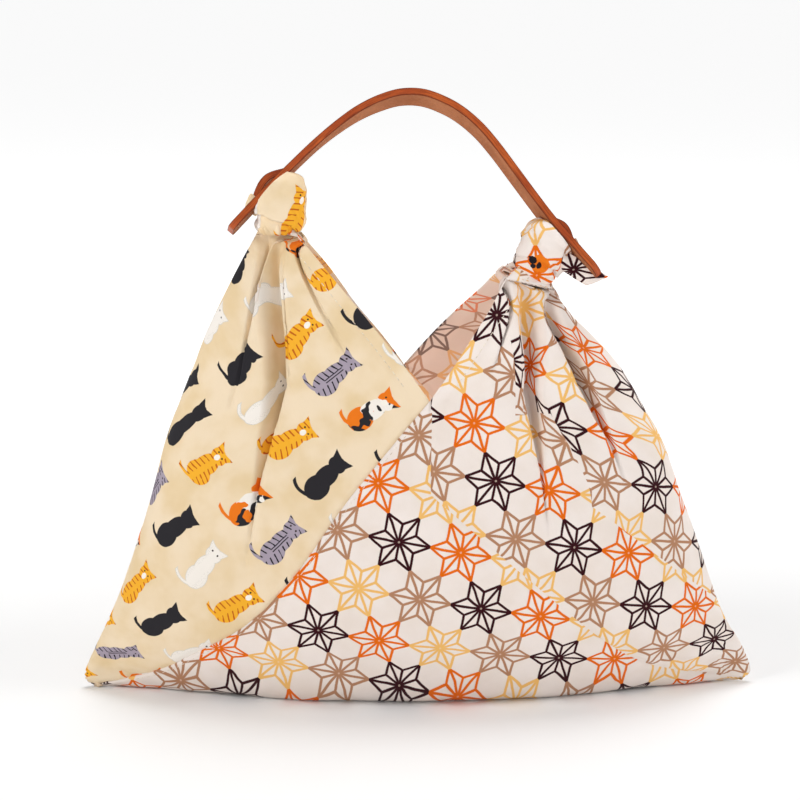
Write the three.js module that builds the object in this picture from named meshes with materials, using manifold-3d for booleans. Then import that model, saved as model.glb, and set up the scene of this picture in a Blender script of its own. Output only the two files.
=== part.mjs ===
// Azuma bag: a strip of cloth three squares long, folded corner to corner and sewn into a
// bag with two tails, each knotted through a slit in the end of a leather handle.
// Units are millimetres, +Z is up, +X runs along the bottom fold, -Y is the front.
import * as THREE from 'three';
import { mergeVertices } from 'three/addons/utils/BufferGeometryUtils.js';
import Module from 'manifold-3d';

const wasm = await Module();
wasm.setup();

// ---- driving dimensions ----
const STRIP_WIDTH = 210;                     // side of each of the strip's three squares
const HALF = STRIP_WIDTH / Math.SQRT2;       // bottom fold to the notch, measured on the cloth
const FULL = 2 * HALF;                       // bottom fold to the tip of a tail, and its width
const CLOTH = 2;                             // thickness of a cloth solid
const CORNER_CLOTH = 1;                      // its thickness in the narrow bottom corners
const CORNER_THINS = { from: 110, to: 140 };  // distance from the middle where it thins to that
const SEAM_GAP = 0.5;                        // between the two cloths along their seam
const REST_CUT = 0.6;                        // how much of the sagging bottom lies flat
const FOLD_RATE = 0.16;                      // width of a pleat over the cloth it takes in
const PLEAT_DEPTH = 0.48;                    // depth of a pleat over the cloth it takes in
const PLEAT_ROOM = 0.38;                     // deepest a pleat goes, over the bag's half depth
const CENTRE_SHIFT = [-1.1, 0, 0];           // brings the middle of the base to the origin

// ---- the hanging shape ----
// Each row is a level: `cloth` is the distance up the cloth from the bottom fold.
// front and back are the middle of the bag up to the notch, then the edges of a tail.
const MIDDLE = [
  // cloth, depth, height, lift: how late a level rises from the middle to the side
  { cloth: 0, depth: 0, height: 0, lift: 9 },
  { cloth: 10, depth: 11, height: 0, lift: 6 },
  { cloth: 20, depth: 22, height: 0, lift: 3.6 },
  { cloth: 29, depth: 31, height: 4.5, lift: 2.7 },
  { cloth: 39, depth: 38, height: 12.5, lift: 2.3 },
  { cloth: 50, depth: 42.5, height: 24, lift: 2.1 },
  { cloth: 65, depth: 45.5, height: 41, lift: 1.8 },
  { cloth: 84, depth: 46, height: 61.5, lift: 1.6 },
  { cloth: 104, depth: 44.5, height: 84.5, lift: 1.4 },
  { cloth: 125, depth: 41.5, height: 108, lift: 1.2 },
  { cloth: HALF, depth: 37, height: 134.4, lift: 1 },
];
const NOTCH_SHIFT = { front: 1.8, back: -5 };   // sideways place of the two notches
const BACK_RISE = 2.6;                          // the back notch sits this much higher

const LEFT = {
  neck: 222,
  side: [
    { cloth: 0, x: -143, z: 1.5 }, { cloth: 6, x: -147.8, z: 6 }, { cloth: 14, x: -142.5, z: 16 },
    { cloth: 40, x: -130.3, z: 41.5 },
    { cloth: 62, x: -122.9, z: 62 }, { cloth: 84, x: -116.2, z: 82.8 },
    { cloth: 112, x: -109.2, z: 110 }, { cloth: 133, x: -102.3, z: 129.2 },
    { cloth: HALF, x: -97.2, z: 143 }, { cloth: 162, x: -92, z: 156 }, { cloth: 178, x: -86, z: 169 },
    { cloth: 194, x: -79.6, z: 182.5 }, { cloth: 208, x: -72.9, z: 194 }, { cloth: 222, x: -68, z: 203.5 },
  ],
  edges: [
    { cloth: HALF, fx: 1.8, fy: -37, fz: 134.4, bx: -5, by: 37, bz: 137 },
    { cloth: 162, fx: -8.3, fy: -32, fz: 148, bx: -14.5, by: 30.5, bz: 150.5 },
    { cloth: 178, fx: -21.5, fy: -25.3, fz: 164, bx: -27, by: 22.5, bz: 166.5 },
    { cloth: 194, fx: -33.8, fy: -18.5, fz: 178.2, bx: -38, by: 15.2, bz: 182.5 },
    { cloth: 208, fx: -44.5, fy: -12.2, fz: 190.5, bx: -48, by: 9, bz: 195 },
    { cloth: 222, fx: -55.5, fy: -4.5, fz: 203, bx: -55.5, by: 4.5, bz: 204 },
  ],
};
const RIGHT = {
  neck: 205,
  side: [
    { cloth: 0, x: 144, z: 1.5 }, { cloth: 6, x: 148, z: 5.5 }, { cloth: 16, x: 143, z: 18 },
    { cloth: 31, x: 134.8, z: 32 },
    { cloth: 57, x: 124.9, z: 56.5 }, { cloth: 94, x: 112.7, z: 92 },
    { cloth: 118, x: 103.8, z: 113.5 }, { cloth: 134, x: 95.5, z: 127.5 },
    { cloth: HALF, x: 88, z: 140 }, { cloth: 161, x: 80, z: 149.5 }, { cloth: 172, x: 71.8, z: 158 },
    { cloth: 183, x: 64, z: 166 }, { cloth: 194, x: 57.4, z: 175 }, { cloth: 205, x: 54.6, z: 183 },
  ],
  edges: [
    { cloth: HALF, fx: 1.8, fy: -37, fz: 134.4, bx: -5, by: 37, bz: 137 },
    { cloth: 161, fx: 11.5, fy: -31, fz: 147, bx: 5.8, by: 31.5, bz: 150.5 },
    { cloth: 172, fx: 19.5, fy: -25, fz: 158.3, bx: 15.5, by: 26.5, bz: 161.5 },
    { cloth: 183, fx: 28, fy: -18, fz: 170, bx: 25.5, by: 20.8, bz: 172 },
    { cloth: 194, fx: 35, fy: -11, fz: 181.5, bx: 34.5, by: 13, bz: 182.5 },
    { cloth: 205, fx: 43.5, fy: -5, fz: 188.5, bx: 43.5, by: 5.5, bz: 189.5 },
  ],
};
const TAILS = { left: LEFT, right: RIGHT };
// Pleats that run down from each knot: `across` is the place from the side fold (0) to the
// middle or edge (1), `neck` and `notch` its share of the spare cloth there, and `ends` the
// level where it has smoothed out. `lean` tips its trough over, to the middle if positive.
const PLEATS = {
  left_front: [
    { across: 0.24, neck: 0.26, notch: 0.06, ends: 120, lean: 0 },
    { across: 0.44, neck: 0.42, notch: 0.6, ends: 60, lean: 0.3 },
    { across: 0.8, neck: 0.26, notch: 0.08, ends: 130, lean: 0 },
  ],
  left_back: [
    { across: 0.34, neck: 0.45, notch: 0.4, ends: 90, lean: 0 },
    { across: 0.7, neck: 0.45, notch: 0.3, ends: 80, lean: 0 },
  ],
  right_front: [
    { across: 0.3, neck: 0.3, notch: 0.34, ends: 95, lean: -0.25 },
    { across: 0.6, neck: 0.42, notch: 0.4, ends: 85, lean: 0 },
    { across: 0.84, neck: 0.22, notch: 0.06, ends: 125, lean: 0 },
  ],
  right_back: [
    { across: 0.3, neck: 0.45, notch: 0.36, ends: 80, lean: 0 },
    { across: 0.66, neck: 0.45, notch: 0.34, ends: 90, lean: 0 },
  ],
};

// ---- the leather handle ----
// Its arch lies in a plane that leans back about an axis along X at the knots' height.
const STRAP = { width: 15.5, thick: 3.1, slit: 3.8, lean: 21, pivot: 200, step: 7 };
const ARCH = [
  // the strap's upper face, from the left end: x, and rise up the leaning plane from the pivot
  [-81.5, 1], [-75, 8.2], [-68.2, 15.6], [-61.6, 22.4], [-55.3, 28.8], [-45, 38.9], [-35.2, 47.4],
  [-27.1, 53.3], [-18.2, 57.9], [-8.5, 60.8], [1.5, 60.6], [11.3, 57], [18.5, 52.6], [26.1, 45.8],
  [32.7, 37.8], [40.8, 26.4], [48.8, 15], [55.8, 5.4], [63.8, -4.4], [70.5, -12.4], [76, -18.6],
];
// The left half is twisted: its upper face rises this much for each millimetre to the back.
const STRAP_TWIST = { slope: 0.09, whole: 50, gone: 90 };
const END_ROUND = { left: 3, right: 7 };     // corner radius of the strap's two ends, in plan
// slit: where it starts and ends along the strap; bow: how far its rear strand stands out
const SLITS = {
  left: { from: 13, to: 38, bow: 4.6, peak: 0.56 },
  right: { from: 181, to: 202, bow: 4.2, peak: 0.45 },
};

// ---- the knots ----
// A knot is a lump round the gathered tail, and a loop that goes over the rear strand.
const KNOTS = {
  left: {
    middle: [-59.6, 0.5, 212.2], half: [10.6, 11, 13.5], tip: 4, square: 0.72,
    collar: { middle: [-61.2, 0, 202.5], half: [9.2, 8.6, 4.6] },
    loop: { from: 13.6, to: 17.6 },
  },
  right: {
    middle: [52, 0.5, 191.6], half: [11, 10.5, 13.5], tip: 24, square: 0.72,
    collar: { middle: [51, 0, 184], half: [8.5, 7.8, 4.6] },
    loop: { from: 198, to: 201.4 },
  },
};
// The loose end of the right tail, a flat fold of cloth that hangs from the knot.
const TIP = {
  near: -9, thick: 3.4,
  // x and z round its edge
  outline: [[56, 194], [63.5, 193.5], [79, 181.3], [77.6, 178.6], [69.6, 177.4], [62.8, 187], [56, 187]],
};
const ABOVE = 40;                            // reach of the cut over a knot, each way
const CLEAR = 0.4;                           // cloth to leather
const LOOP_CLOTH = 1.5;                      // thickness of the loop's flattened cloth

// The left cloth has slipped round to the front by this much of a half level, low down, so
// that its seam leaves the corner along the bottom.
const TWIST = { most: 0.15, grown: 28, fades: 30, gone: 150 };

// ---- numbers from the tables ----
const clamp = (value, low, high) => Math.min(high, Math.max(low, value));
const ease = (from, to, value) => {
  const f = clamp((value - from) / (to - from), 0, 1);
  return f * f * (3 - 2 * f);
};

// A column of a table at a cloth level, along a smooth curve through its rows.
function read(table, column, cloth) {
  const last = table.length - 1;
  let row = 0;
  while (row < last - 1 && cloth > table[row + 1].cloth) row += 1;
  const slope = (index) => {
    const before = table[Math.max(0, index - 1)];
    const after = table[Math.min(last, index + 1)];
    return (after[column] - before[column]) / (after.cloth - before.cloth);
  };
  const [from, to] = [table[row], table[row + 1]];
  const span = to.cloth - from.cloth;
  const f = clamp((cloth - from.cloth) / span, 0, 1);
  const [f2, f3] = [f * f, f * f * f];
  return (2 * f3 - 3 * f2 + 1) * from[column] + (f3 - 2 * f2 + f) * span * slope(row)
    + (3 * f2 - 2 * f3) * to[column] + (f3 - f2) * span * slope(row + 1);
}

// The quarter of a level that runs from the side fold to the middle, or to a tail's edge.
function quarterCurve(tail, front, cloth) {
  const side = { x: read(tail.side, 'x', cloth), z: read(tail.side, 'z', cloth) };
  if (cloth <= HALF) {
    const depth = read(MIDDLE, 'depth', cloth);
    const rise = Math.pow(cloth / HALF, 3);
    return {
      side,
      edge: {
        x: (front ? NOTCH_SHIFT.front : NOTCH_SHIFT.back) * rise,
        y: front ? -depth : depth,
        z: read(MIDDLE, 'height', cloth) + (front ? 0 : BACK_RISE * rise),
      },
      lift: read(MIDDLE, 'lift', cloth),
      length: HALF,
    };
  }
  const key = front ? 'f' : 'b';
  return {
    side,
    edge: {
      x: read(tail.edges, `${key}x`, cloth),
      y: read(tail.edges, `${key}y`, cloth),
      z: read(tail.edges, `${key}z`, cloth),
    },
    lift: 1,
    length: FULL - cloth,
  };
}

function quarterPoint(curve, angle) {
  const [c, s] = [Math.cos(angle), Math.sin(angle)];
  const z = curve.edge.z + (curve.side.z - curve.edge.z) * Math.pow(c, curve.lift);
  return new THREE.Vector3(curve.edge.x + (curve.side.x - curve.edge.x) * c, curve.edge.y * s, z);
}

// Share of the spare cloth that a pleat takes in at a level.
function pleatShare(pleat, tail, cloth) {
  if (cloth >= HALF) {
    const f = ease(HALF, tail.neck, cloth);
    return pleat.notch + (pleat.neck - pleat.notch) * f;
  }
  return pleat.notch * ease(pleat.ends, HALF, cloth);
}

// A place on the cloth, from -1 at the back to 1 at the front, as a place on the level.
function slipped(name, place, cloth) {
  if (name === 'right') return place;
  const twist = TWIST.most * ease(0, TWIST.grown, cloth) * (1 - ease(TWIST.fades, TWIST.gone, cloth));
  return place + twist * (1 - place * place);
}

// A point of the bag's outer surface, for a place on the cloth and a level.
const CURVE_STEPS = 48;                      // straight steps that measure a quarter's curve
const NUDGE = 0.01;                          // half the angle that a tangent is taken over
function surfacePoint(name, place, cloth) {
  const turned = slipped(name, place, cloth);
  const [front, across] = [turned >= 0, Math.abs(turned)];
  const tail = TAILS[name];
  const pleats = PLEATS[`${name}_${front ? 'front' : 'back'}`];
  const curve = quarterCurve(tail, front, cloth);
  const marks = [0];
  let before = quarterPoint(curve, 0);
  for (let i = 1; i <= CURVE_STEPS; i += 1) {
    const here = quarterPoint(curve, (i / CURVE_STEPS) * (Math.PI / 2));
    marks.push(marks[i - 1] + here.distanceTo(before));
    before = here;
  }
  const arc = marks[CURVE_STEPS];
  const spare = Math.max(0, curve.length - arc);
  const folds = pleats.map((pleat) => {
    const taken = (pleatShare(pleat, tail, cloth) * spare) / (1 - FOLD_RATE);
    return { pleat, taken, half: taken / 2 / curve.length };
  });
  // how far along the arc: pleats advance slowly, the cloth between them at one even rate
  const takenAll = folds.reduce((sum, fold) => sum + fold.taken, 0);
  const rate = (arc - FOLD_RATE * takenAll) / (curve.length - takenAll);
  let travelled = across * curve.length * rate;
  let inward = 0;
  let tipped = 0;
  for (const { pleat, taken, half } of folds) {
    if (taken <= 0) continue;
    const inside = clamp((across - pleat.across) / half, -1, 1);
    travelled += ((inside + 1) / 2) * taken * (FOLD_RATE - rate);
    if (Math.abs(inside) >= 1) continue;
    const room = PLEAT_ROOM * Math.abs(curve.edge.y);
    const depth = Math.min(PLEAT_DEPTH * taken, room) * (1 - Math.abs(inside));
    inward += depth;
    tipped += depth * pleat.lean;
  }
  const along = clamp(travelled, 0, arc);
  let step = 1;
  while (step < CURVE_STEPS && marks[step] < along) step += 1;
  const f = (along - marks[step - 1]) / (marks[step] - marks[step - 1]);
  const angle = ((step - 1 + f) / CURVE_STEPS) * (Math.PI / 2);
  const point = quarterPoint(curve, angle);
  const tangent = quarterPoint(curve, Math.min(angle + NUDGE, Math.PI / 2))
    .sub(quarterPoint(curve, Math.max(angle - NUDGE, 0)));
  tangent.z = 0;
  tangent.normalize();
  const turn = (front ? 1 : -1) * Math.sign(curve.side.x - curve.edge.x);
  const inwards = new THREE.Vector3(tangent.y * turn, -tangent.x * turn, 0);
  point.addScaledVector(inwards, inward).addScaledVector(tangent, tipped);
  point.z = Math.max(0, point.z - REST_CUT);
  return point;
}

// ---- a cloth sheet ----
// The surface is a net of four quarters: left and right tail, front and back. Its columns
// and its body levels share their spacing, so that the slanted seam runs from knot to knot
// of the net. Corners that fall together are one.
const COLUMNS = {
  left: [0, 0.04, 0.1, 0.17, 0.24, 0.32, 0.38, 0.44, 0.5, 0.56, 0.62, 0.7, 0.8, 0.9, 1],
  right: [0, 0.1, 0.2, 0.3, 0.4, 0.5, 0.6, 0.7, 0.84, 1],
};
const TAIL_LEVELS = {
  left: [156, 166, 177, 188, 198, 207, 214, 221],
  right: [156, 165, 174, 183, 190, 197, 203],
};
const BODY_LEVELS = COLUMNS.left.map((across) => across * HALF);

class Net {
  constructor() {
    this.points = [];
    this.found = new Map();
    this.faces = { cat_cloth: [], star_cloth: [] };
  }

  corner(name, front, across, cloth) {
    const shared = across === 1 && cloth <= HALF ? 'middle' : name;
    const face = across === 0 || cloth === 0 ? 'fold' : front;
    const key = [shared, face, across, cloth].join();
    if (!this.found.has(key)) {
      this.found.set(key, this.points.length);
      this.points.push(surfacePoint(name, front ? across : -across, cloth));
    }
    return this.found.get(key);
  }

  // Adds a flat piece, turned to face out of the bag.
  add(cloth, corners, outward) {
    const ring = corners.filter((corner, i) => corner !== corners[(i + 1) % corners.length]);
    for (let i = 1; i + 1 < ring.length; i += 1) {
      const face = [ring[0], ring[i], ring[i + 1]];
      if (new Set(face).size === 3) this.faces[cloth].push(outward ? face : face.reverse());
    }
  }

  normals() {
    const normals = this.points.map(() => new THREE.Vector3());
    for (const faces of Object.values(this.faces)) {
      for (const [a, b, c] of faces) {
        const ab = this.points[b].clone().sub(this.points[a]);
        const ac = this.points[c].clone().sub(this.points[a]);
        const normal = ab.cross(ac);
        for (const corner of [a, b, c]) normals[corner].add(normal);
      }
    }
    return normals.map((normal) => normal.normalize());
  }
}

function weaveNet() {
  const net = new Net();
  for (const [name, sideways] of [['left', -1], ['right', 1]]) {
    const columns = COLUMNS[name];
    const levels = [...BODY_LEVELS, ...TAIL_LEVELS[name]];
    for (const front of [true, false]) {
      const outward = (front ? 1 : -1) * sideways > 0;
      const at = (column, level) => net.corner(name, front, columns[column], levels[level]);
      for (let level = 0; level + 1 < levels.length; level += 1) {
        for (let column = 0; column + 1 < columns.length; column += 1) {
          const [low, high] = [[at(column, level), at(column + 1, level)],
            [at(column, level + 1), at(column + 1, level + 1)]];
          const quad = [low[0], high[0], high[1], low[1]];
          if (name === 'right' || (level < BODY_LEVELS.length - 1 && column > level)) {
            net.add('star_cloth', quad, outward);
          } else if (level >= BODY_LEVELS.length - 1 || column < level) {
            net.add('cat_cloth', quad, outward);
          } else {
            net.add('cat_cloth', [low[0], high[0], high[1]], outward);
            net.add('star_cloth', [low[0], high[1], low[1]], outward);
          }
        }
      }
    }
  }
  return net;
}

// Gives the faces of one cloth a thickness, inwards, and closes the rim round its edges.
function thicken(net, name, normals) {
  const faces = net.faces[name];
  const used = [...new Set(faces.flat())];
  const place = new Map(used.map((corner, i) => [corner, i]));
  const edges = new Map();
  for (const face of faces) {
    face.forEach((from, i) => edges.set(`${from},${face[(i + 1) % 3]}`, [from, face[(i + 1) % 3]]));
  }
  const rim = [...edges.values()].filter(([from, to]) => !edges.has(`${to},${from}`));
  const pull = new Map();
  const others = new Set(Object.entries(net.faces).filter(([other]) => other !== name)
    .flatMap(([, list]) => list.flat()));
  for (const [from, to] of rim) {
    if (!others.has(from) || !others.has(to)) continue;
    const along = net.points[to].clone().sub(net.points[from]).normalize();
    for (const corner of [from, to]) {
      const inwards = normals[corner].clone().cross(along);
      pull.set(corner, (pull.get(corner) ?? new THREE.Vector3()).add(inwards));
    }
  }
  const outer = used.map((corner) => {
    const point = net.points[corner].clone();
    if (pull.has(corner)) point.addScaledVector(pull.get(corner).clone().normalize(), SEAM_GAP / 2);
    return point;
  });
  const inner = outer.map((point, i) => {
    const { from, to } = CORNER_THINS;
    const thinned = clamp((Math.abs(point.x) - from) / (to - from), 0, 1);
    const depth = CLOTH + (CORNER_CLOTH - CLOTH) * thinned;
    return point.clone().addScaledVector(normals[used[i]], -depth);
  });
  const count = used.length;
  const triangles = [];
  for (const face of faces) {
    const [a, b, c] = face.map((corner) => place.get(corner));
    triangles.push([a, b, c], [c + count, b + count, a + count]);
  }
  for (const [from, to] of rim) {
    const [a, b] = [place.get(from), place.get(to)];
    triangles.push([b, a, a + count], [b, a + count, b + count]);
  }
  return closedGeometry([...outer, ...inner], triangles);
}

function closedGeometry(points, triangles) {
  const geometry = new THREE.BufferGeometry();
  geometry.setAttribute('position', new THREE.Float32BufferAttribute(
    points.flatMap((point) => point.toArray()), 3));
  geometry.setIndex(triangles.flat());
  return geometry;
}

// ---- solids joined and cut ----
const WELD = 1e-4;                           // corners nearer than this are one

function toSolid(geometry) {
  const bare = geometry.clone();
  bare.deleteAttribute('normal');
  bare.deleteAttribute('uv');
  const merged = mergeVertices(bare, WELD);
  return new wasm.Manifold(new wasm.Mesh({
    numProp: 3,
    vertProperties: new Float32Array(merged.attributes.position.array),
    triVerts: new Uint32Array(merged.index.array),
  }));
}

// The largest body of a solid: a speck of air shut in between pleats and knot is filled.
function whole(solid) {
  return solid.decompose().reduce((best, body) => (body.volume() > best.volume() ? body : best));
}

function toGeometry(solid) {
  const mesh = whole(solid).getMesh();
  const geometry = new THREE.BufferGeometry();
  geometry.setAttribute('position', new THREE.BufferAttribute(mesh.vertProperties, 3));
  geometry.setIndex(new THREE.BufferAttribute(mesh.triVerts, 1));
  return geometry;
}

const joined = (solids) => solids.reduce((all, solid) => all.add(solid));

// ---- the handle ----
const archCurve = new THREE.CatmullRomCurve3(
  ARCH.map(([x, rise]) => new THREE.Vector3(x, 0, rise)), false, 'centripetal');
archCurve.arcLengthDivisions = 800;
const ARCH_LENGTH = archCurve.getLength();

// A place in the strap's own terms: along it, across its width, and out of its upper face.
function strapPoint(along, across, out) {
  const f = clamp(along / ARCH_LENGTH, 0, 1);
  const tangent = archCurve.getTangentAt(f);
  const point = archCurve.getPointAt(f);
  const slope = STRAP_TWIST.slope * (1 - ease(STRAP_TWIST.whole, STRAP_TWIST.gone, along));
  const lift = out + slope * (across + STRAP.width / 2);
  const past = along - f * ARCH_LENGTH;
  point.x += -tangent.z * lift + tangent.x * past;
  point.z += tangent.x * lift + tangent.z * past;
  point.y = across;
  point.applyAxisAngle(new THREE.Vector3(1, 0, 0), -THREE.MathUtils.degToRad(STRAP.lean));
  point.z += STRAP.pivot;
  return point;
}

function bowAt(slit, along) {
  const f = clamp((along - slit.from) / (slit.to - slit.from), 0, 1);
  const warped = f < slit.peak ? (f / slit.peak) * 0.5 : 0.5 + ((f - slit.peak) / (1 - slit.peak)) * 0.5;
  return slit.bow * Math.pow(Math.sin(Math.PI * warped), 1.4);
}

// Half the strap's width, grown by a margin, which draws in round the corners of its ends.
function sideAt(along, margin) {
  const leftHalf = along < ARCH_LENGTH / 2;
  const fromEnd = (leftHalf ? along : ARCH_LENGTH - along) + margin;
  const round = (leftHalf ? END_ROUND.left : END_ROUND.right) + margin;
  const short = clamp(round - fromEnd, 0, round);
  return STRAP.width / 2 + margin - round + Math.sqrt(round * round - short * short);
}

// A bar along the strap between two distances, across and out ranges, raised by a bow.
// With no range across it is as wide as the strap.
function bar({ from, to, across = null, out, margin = 0, slit = null, step = STRAP.step }) {
  const steps = Math.max(1, Math.round((to - from) / step));
  const points = [];
  const triangles = [];
  for (let i = 0; i <= steps; i += 1) {
    const along = from + ((to - from) * i) / steps;
    const rise = slit ? bowAt(slit, along) : 0;
    const [near, far] = across ?? [-sideAt(along, margin), sideAt(along, margin)];
    points.push(strapPoint(along, near, out[0] + rise), strapPoint(along, far, out[0] + rise),
      strapPoint(along, far, out[1] + rise), strapPoint(along, near, out[1] + rise));
  }
  for (let i = 0; i < steps; i += 1) {
    for (let k = 0; k < 4; k += 1) {
      const [a, b] = [i * 4 + k, i * 4 + ((k + 1) % 4)];
      triangles.push([a, b, b + 4], [a, b + 4, a + 4]);
    }
  }
  const end = steps * 4;
  triangles.push([2, 1, 0], [3, 2, 0], [end, end + 1, end + 2], [end, end + 2, end + 3]);
  return toSolid(closedGeometry(points, triangles));
}

const END_STEP = 1.6;                        // along the strap's rounded ends
const STRAND_STEP = 3;                       // along the strands and the loops on them
const STRAND_LAP = 0.5;                      // how far a strand runs into the whole strap

// The strap with its two slits, or the same grown by a margin on every face.
function strapSolid(margin) {
  const side = STRAP.width / 2 + margin;
  const inner = STRAP.slit / 2 - margin;
  const out = [-STRAP.thick - margin, margin];
  const { left, right } = SLITS;
  const pieces = [
    bar({ from: -margin, to: left.from + margin, out, margin, step: END_STEP }),
    bar({ from: left.to - margin, to: right.from + margin, out, margin }),
    bar({ from: right.to - margin, to: ARCH_LENGTH + margin, out, margin, step: END_STEP }),
  ];
  for (const slit of [left, right]) {
    const range = { from: slit.from - STRAND_LAP, to: slit.to + STRAND_LAP, out, step: STRAND_STEP };
    pieces.push(bar({ ...range, across: [-side, -inner] }));
    pieces.push(bar({ ...range, across: [inner, side], slit }));
  }
  return joined(pieces);
}

// ---- the knots ----
// A ball drawn out to soft corners; square is below 1, and tip turns it about Y in degrees.
function lump({ middle, half, tip = 0, square = 1 }) {
  const geometry = new THREE.SphereGeometry(1, 18, 12);
  const position = geometry.attributes.position;
  const axis = new THREE.Vector3(0, 1, 0);
  for (let i = 0; i < position.count; i += 1) {
    const point = new THREE.Vector3().fromBufferAttribute(position, i);
    const [x, y, z] = point.toArray().map((value) => Math.sign(value) * Math.pow(Math.abs(value), square));
    point.set(x * half[0], y * half[1], z * half[2]);
    point.applyAxisAngle(axis, THREE.MathUtils.degToRad(tip));
    point.add(new THREE.Vector3(...middle));
    position.setXYZ(i, ...point.toArray());
  }
  return toSolid(geometry);
}

// The knot's lump is cut off flat below the strap, and its loop keeps clear of the leather.
function knotSolid(name) {
  const { middle, half, tip, square, collar, loop } = KNOTS[name];
  const slit = SLITS[name];
  const under = -STRAP.thick - CLEAR;
  const above = bar({
    from: slit.from - ABOVE, to: slit.to + ABOVE, across: [-ABOVE, ABOVE], out: [under, ABOVE],
  });
  const body = joined([lump({ middle, half, tip, square }), lump(collar)]).subtract(above);
  const sleeve = bar({
    from: loop.from, to: loop.to, slit, step: STRAND_STEP,
    across: [STRAP.slit / 2 - CLEAR - LOOP_CLOTH, STRAP.width / 2 + CLEAR + LOOP_CLOTH],
    out: [under - LOOP_CLOTH, CLEAR + LOOP_CLOTH],
  });
  return body.add(sleeve).subtract(handleRoom);
}

function tipSolid() {
  const outline = new THREE.Shape(TIP.outline.map(([x, z]) => new THREE.Vector2(x, z)));
  const geometry = new THREE.ExtrudeGeometry(outline, { depth: TIP.thick, bevelEnabled: false });
  geometry.rotateX(Math.PI / 2);
  geometry.translate(0, TIP.near + TIP.thick, 0);
  return toSolid(geometry).subtract(handleRoom);
}

// ---- the bag ----
function cloth(name, colour, solids) {
  const sheet = toSolid(thicken(net, name, normals));
  const material = new THREE.MeshStandardMaterial({ color: colour, roughness: 0.9, metalness: 0 });
  const mesh = new THREE.Mesh(toGeometry(joined([sheet, ...solids])), material);
  mesh.name = name;
  mesh.position.set(...CENTRE_SHIFT);
  return mesh;
}

const net = weaveNet();
const normals = net.normals();
const handleRoom = strapSolid(CLEAR);
const leather = new THREE.MeshStandardMaterial({ color: 0xa8501f, roughness: 0.45, metalness: 0 });
const handle = new THREE.Mesh(toGeometry(strapSolid(0)), leather);
handle.name = 'handle';
handle.position.set(...CENTRE_SHIFT);

const group = new THREE.Group();
group.add(cloth('cat_cloth', 0xefd9b4, [knotSolid('left')]));
group.add(cloth('star_cloth', 0xf3ebe4, [knotSolid('right'), tipSolid()]));
group.add(handle);
export default group;
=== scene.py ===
"""Azuma bag: two printed cotton cloths sewn into one bag, each knotted through a leather handle.

The cloths are thin sheets laid over the shape of their solids, with their pleats, creases,
hems, seams and prints. Lengths in the tables are millimetres, and objects are made in metres.
+Z is up, +X runs along the bottom fold and -Y is the front.
"""
import math
from functools import reduce

import bpy
import numpy as np
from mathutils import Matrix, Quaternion, Vector


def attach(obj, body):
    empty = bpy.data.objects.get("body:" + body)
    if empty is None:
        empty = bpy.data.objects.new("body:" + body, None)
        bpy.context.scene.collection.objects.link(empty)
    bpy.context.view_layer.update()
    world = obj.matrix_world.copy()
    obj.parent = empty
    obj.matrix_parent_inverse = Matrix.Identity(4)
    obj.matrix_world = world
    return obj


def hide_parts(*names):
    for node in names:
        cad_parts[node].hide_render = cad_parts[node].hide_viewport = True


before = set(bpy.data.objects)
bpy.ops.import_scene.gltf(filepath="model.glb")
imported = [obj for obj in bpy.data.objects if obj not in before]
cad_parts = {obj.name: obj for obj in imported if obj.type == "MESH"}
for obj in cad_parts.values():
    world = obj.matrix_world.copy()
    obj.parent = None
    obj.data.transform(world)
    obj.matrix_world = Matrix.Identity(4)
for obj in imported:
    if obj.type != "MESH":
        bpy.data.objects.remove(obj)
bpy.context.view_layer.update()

MM = 0.001

# ---- the cloth's measures ----
STRIP_WIDTH = 210.0                   # side of each of the strip's three squares
HALF = STRIP_WIDTH / math.sqrt(2)     # bottom fold to the notch, measured on the cloth
FULL = 2 * HALF
REST_CUT = 0.6                        # how much of the sagging bottom lies flat
FOLD_RATE = 0.34                      # width of a pleat over the cloth that it takes in
PLEAT_DEPTH = 0.54                    # depth of a pleat over the cloth that it takes in
PLEAT_ROOM = 0.48                     # deepest a pleat goes, over the bag's half depth
CENTRE_SHIFT = -1.1                   # along X, as in the solids
FAR = -100.0                          # stands for a place well away from a seam
NOT_TAIL = 5.0                        # the left net lies at least this far outside the right tail
COLUMNS = 100                         # columns of the net from a side fold to the middle
STEP = HALF / COLUMNS                 # between the net's levels, and its columns
CLOTH = 0.55                          # thickness of one layer

# Each row is a level: the distance up the cloth from the bottom fold, then the middle of the
# bag (its depth, height, and how late a level rises to the side).
MIDDLE = dict(
    cloth=[0, 10, 20, 29, 39, 50, 65, 84, 104, 125, HALF],
    depth=[0, 11, 22, 31, 38, 42.5, 45.5, 46, 44.5, 41.5, 37],
    height=[0, 0, 0, 4.5, 12.5, 24, 41, 61.5, 84.5, 108, 134.4],
    lift=[9, 6, 3.6, 2.7, 2.3, 2.1, 1.8, 1.6, 1.4, 1.2, 1],
)
NOTCH_SHIFT = dict(front=1.8, back=-5)
BACK_RISE = 2.6
SIDE = dict(
    left=dict(
        cloth=[0, 6, 14, 40, 62, 84, 112, 133, HALF, 162, 178, 194, 208, 222],
        x=[-140.5, -145.8, -142.3, -130.3, -122.9, -116.2, -109.2, -102.3, -97.2, -92, -86, -79.6,
           -72.9, -68],
        z=[0.9, 4.6, 15, 41.5, 62, 82.8, 110, 129.2, 143, 156, 169, 182.5, 194, 203.5],
    ),
    right=dict(
        cloth=[0, 6, 16, 31, 57, 94, 118, 134, HALF, 161, 172, 183, 194, 205],
        x=[144, 148, 143, 134.8, 124.9, 112.7, 103.8, 95.5, 88, 80, 71.8, 64, 57.4, 54.6],
        z=[1.5, 5.5, 18, 32, 56.5, 92, 113.5, 127.5, 140, 149.5, 158, 166, 175, 183],
    ),
)
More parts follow.
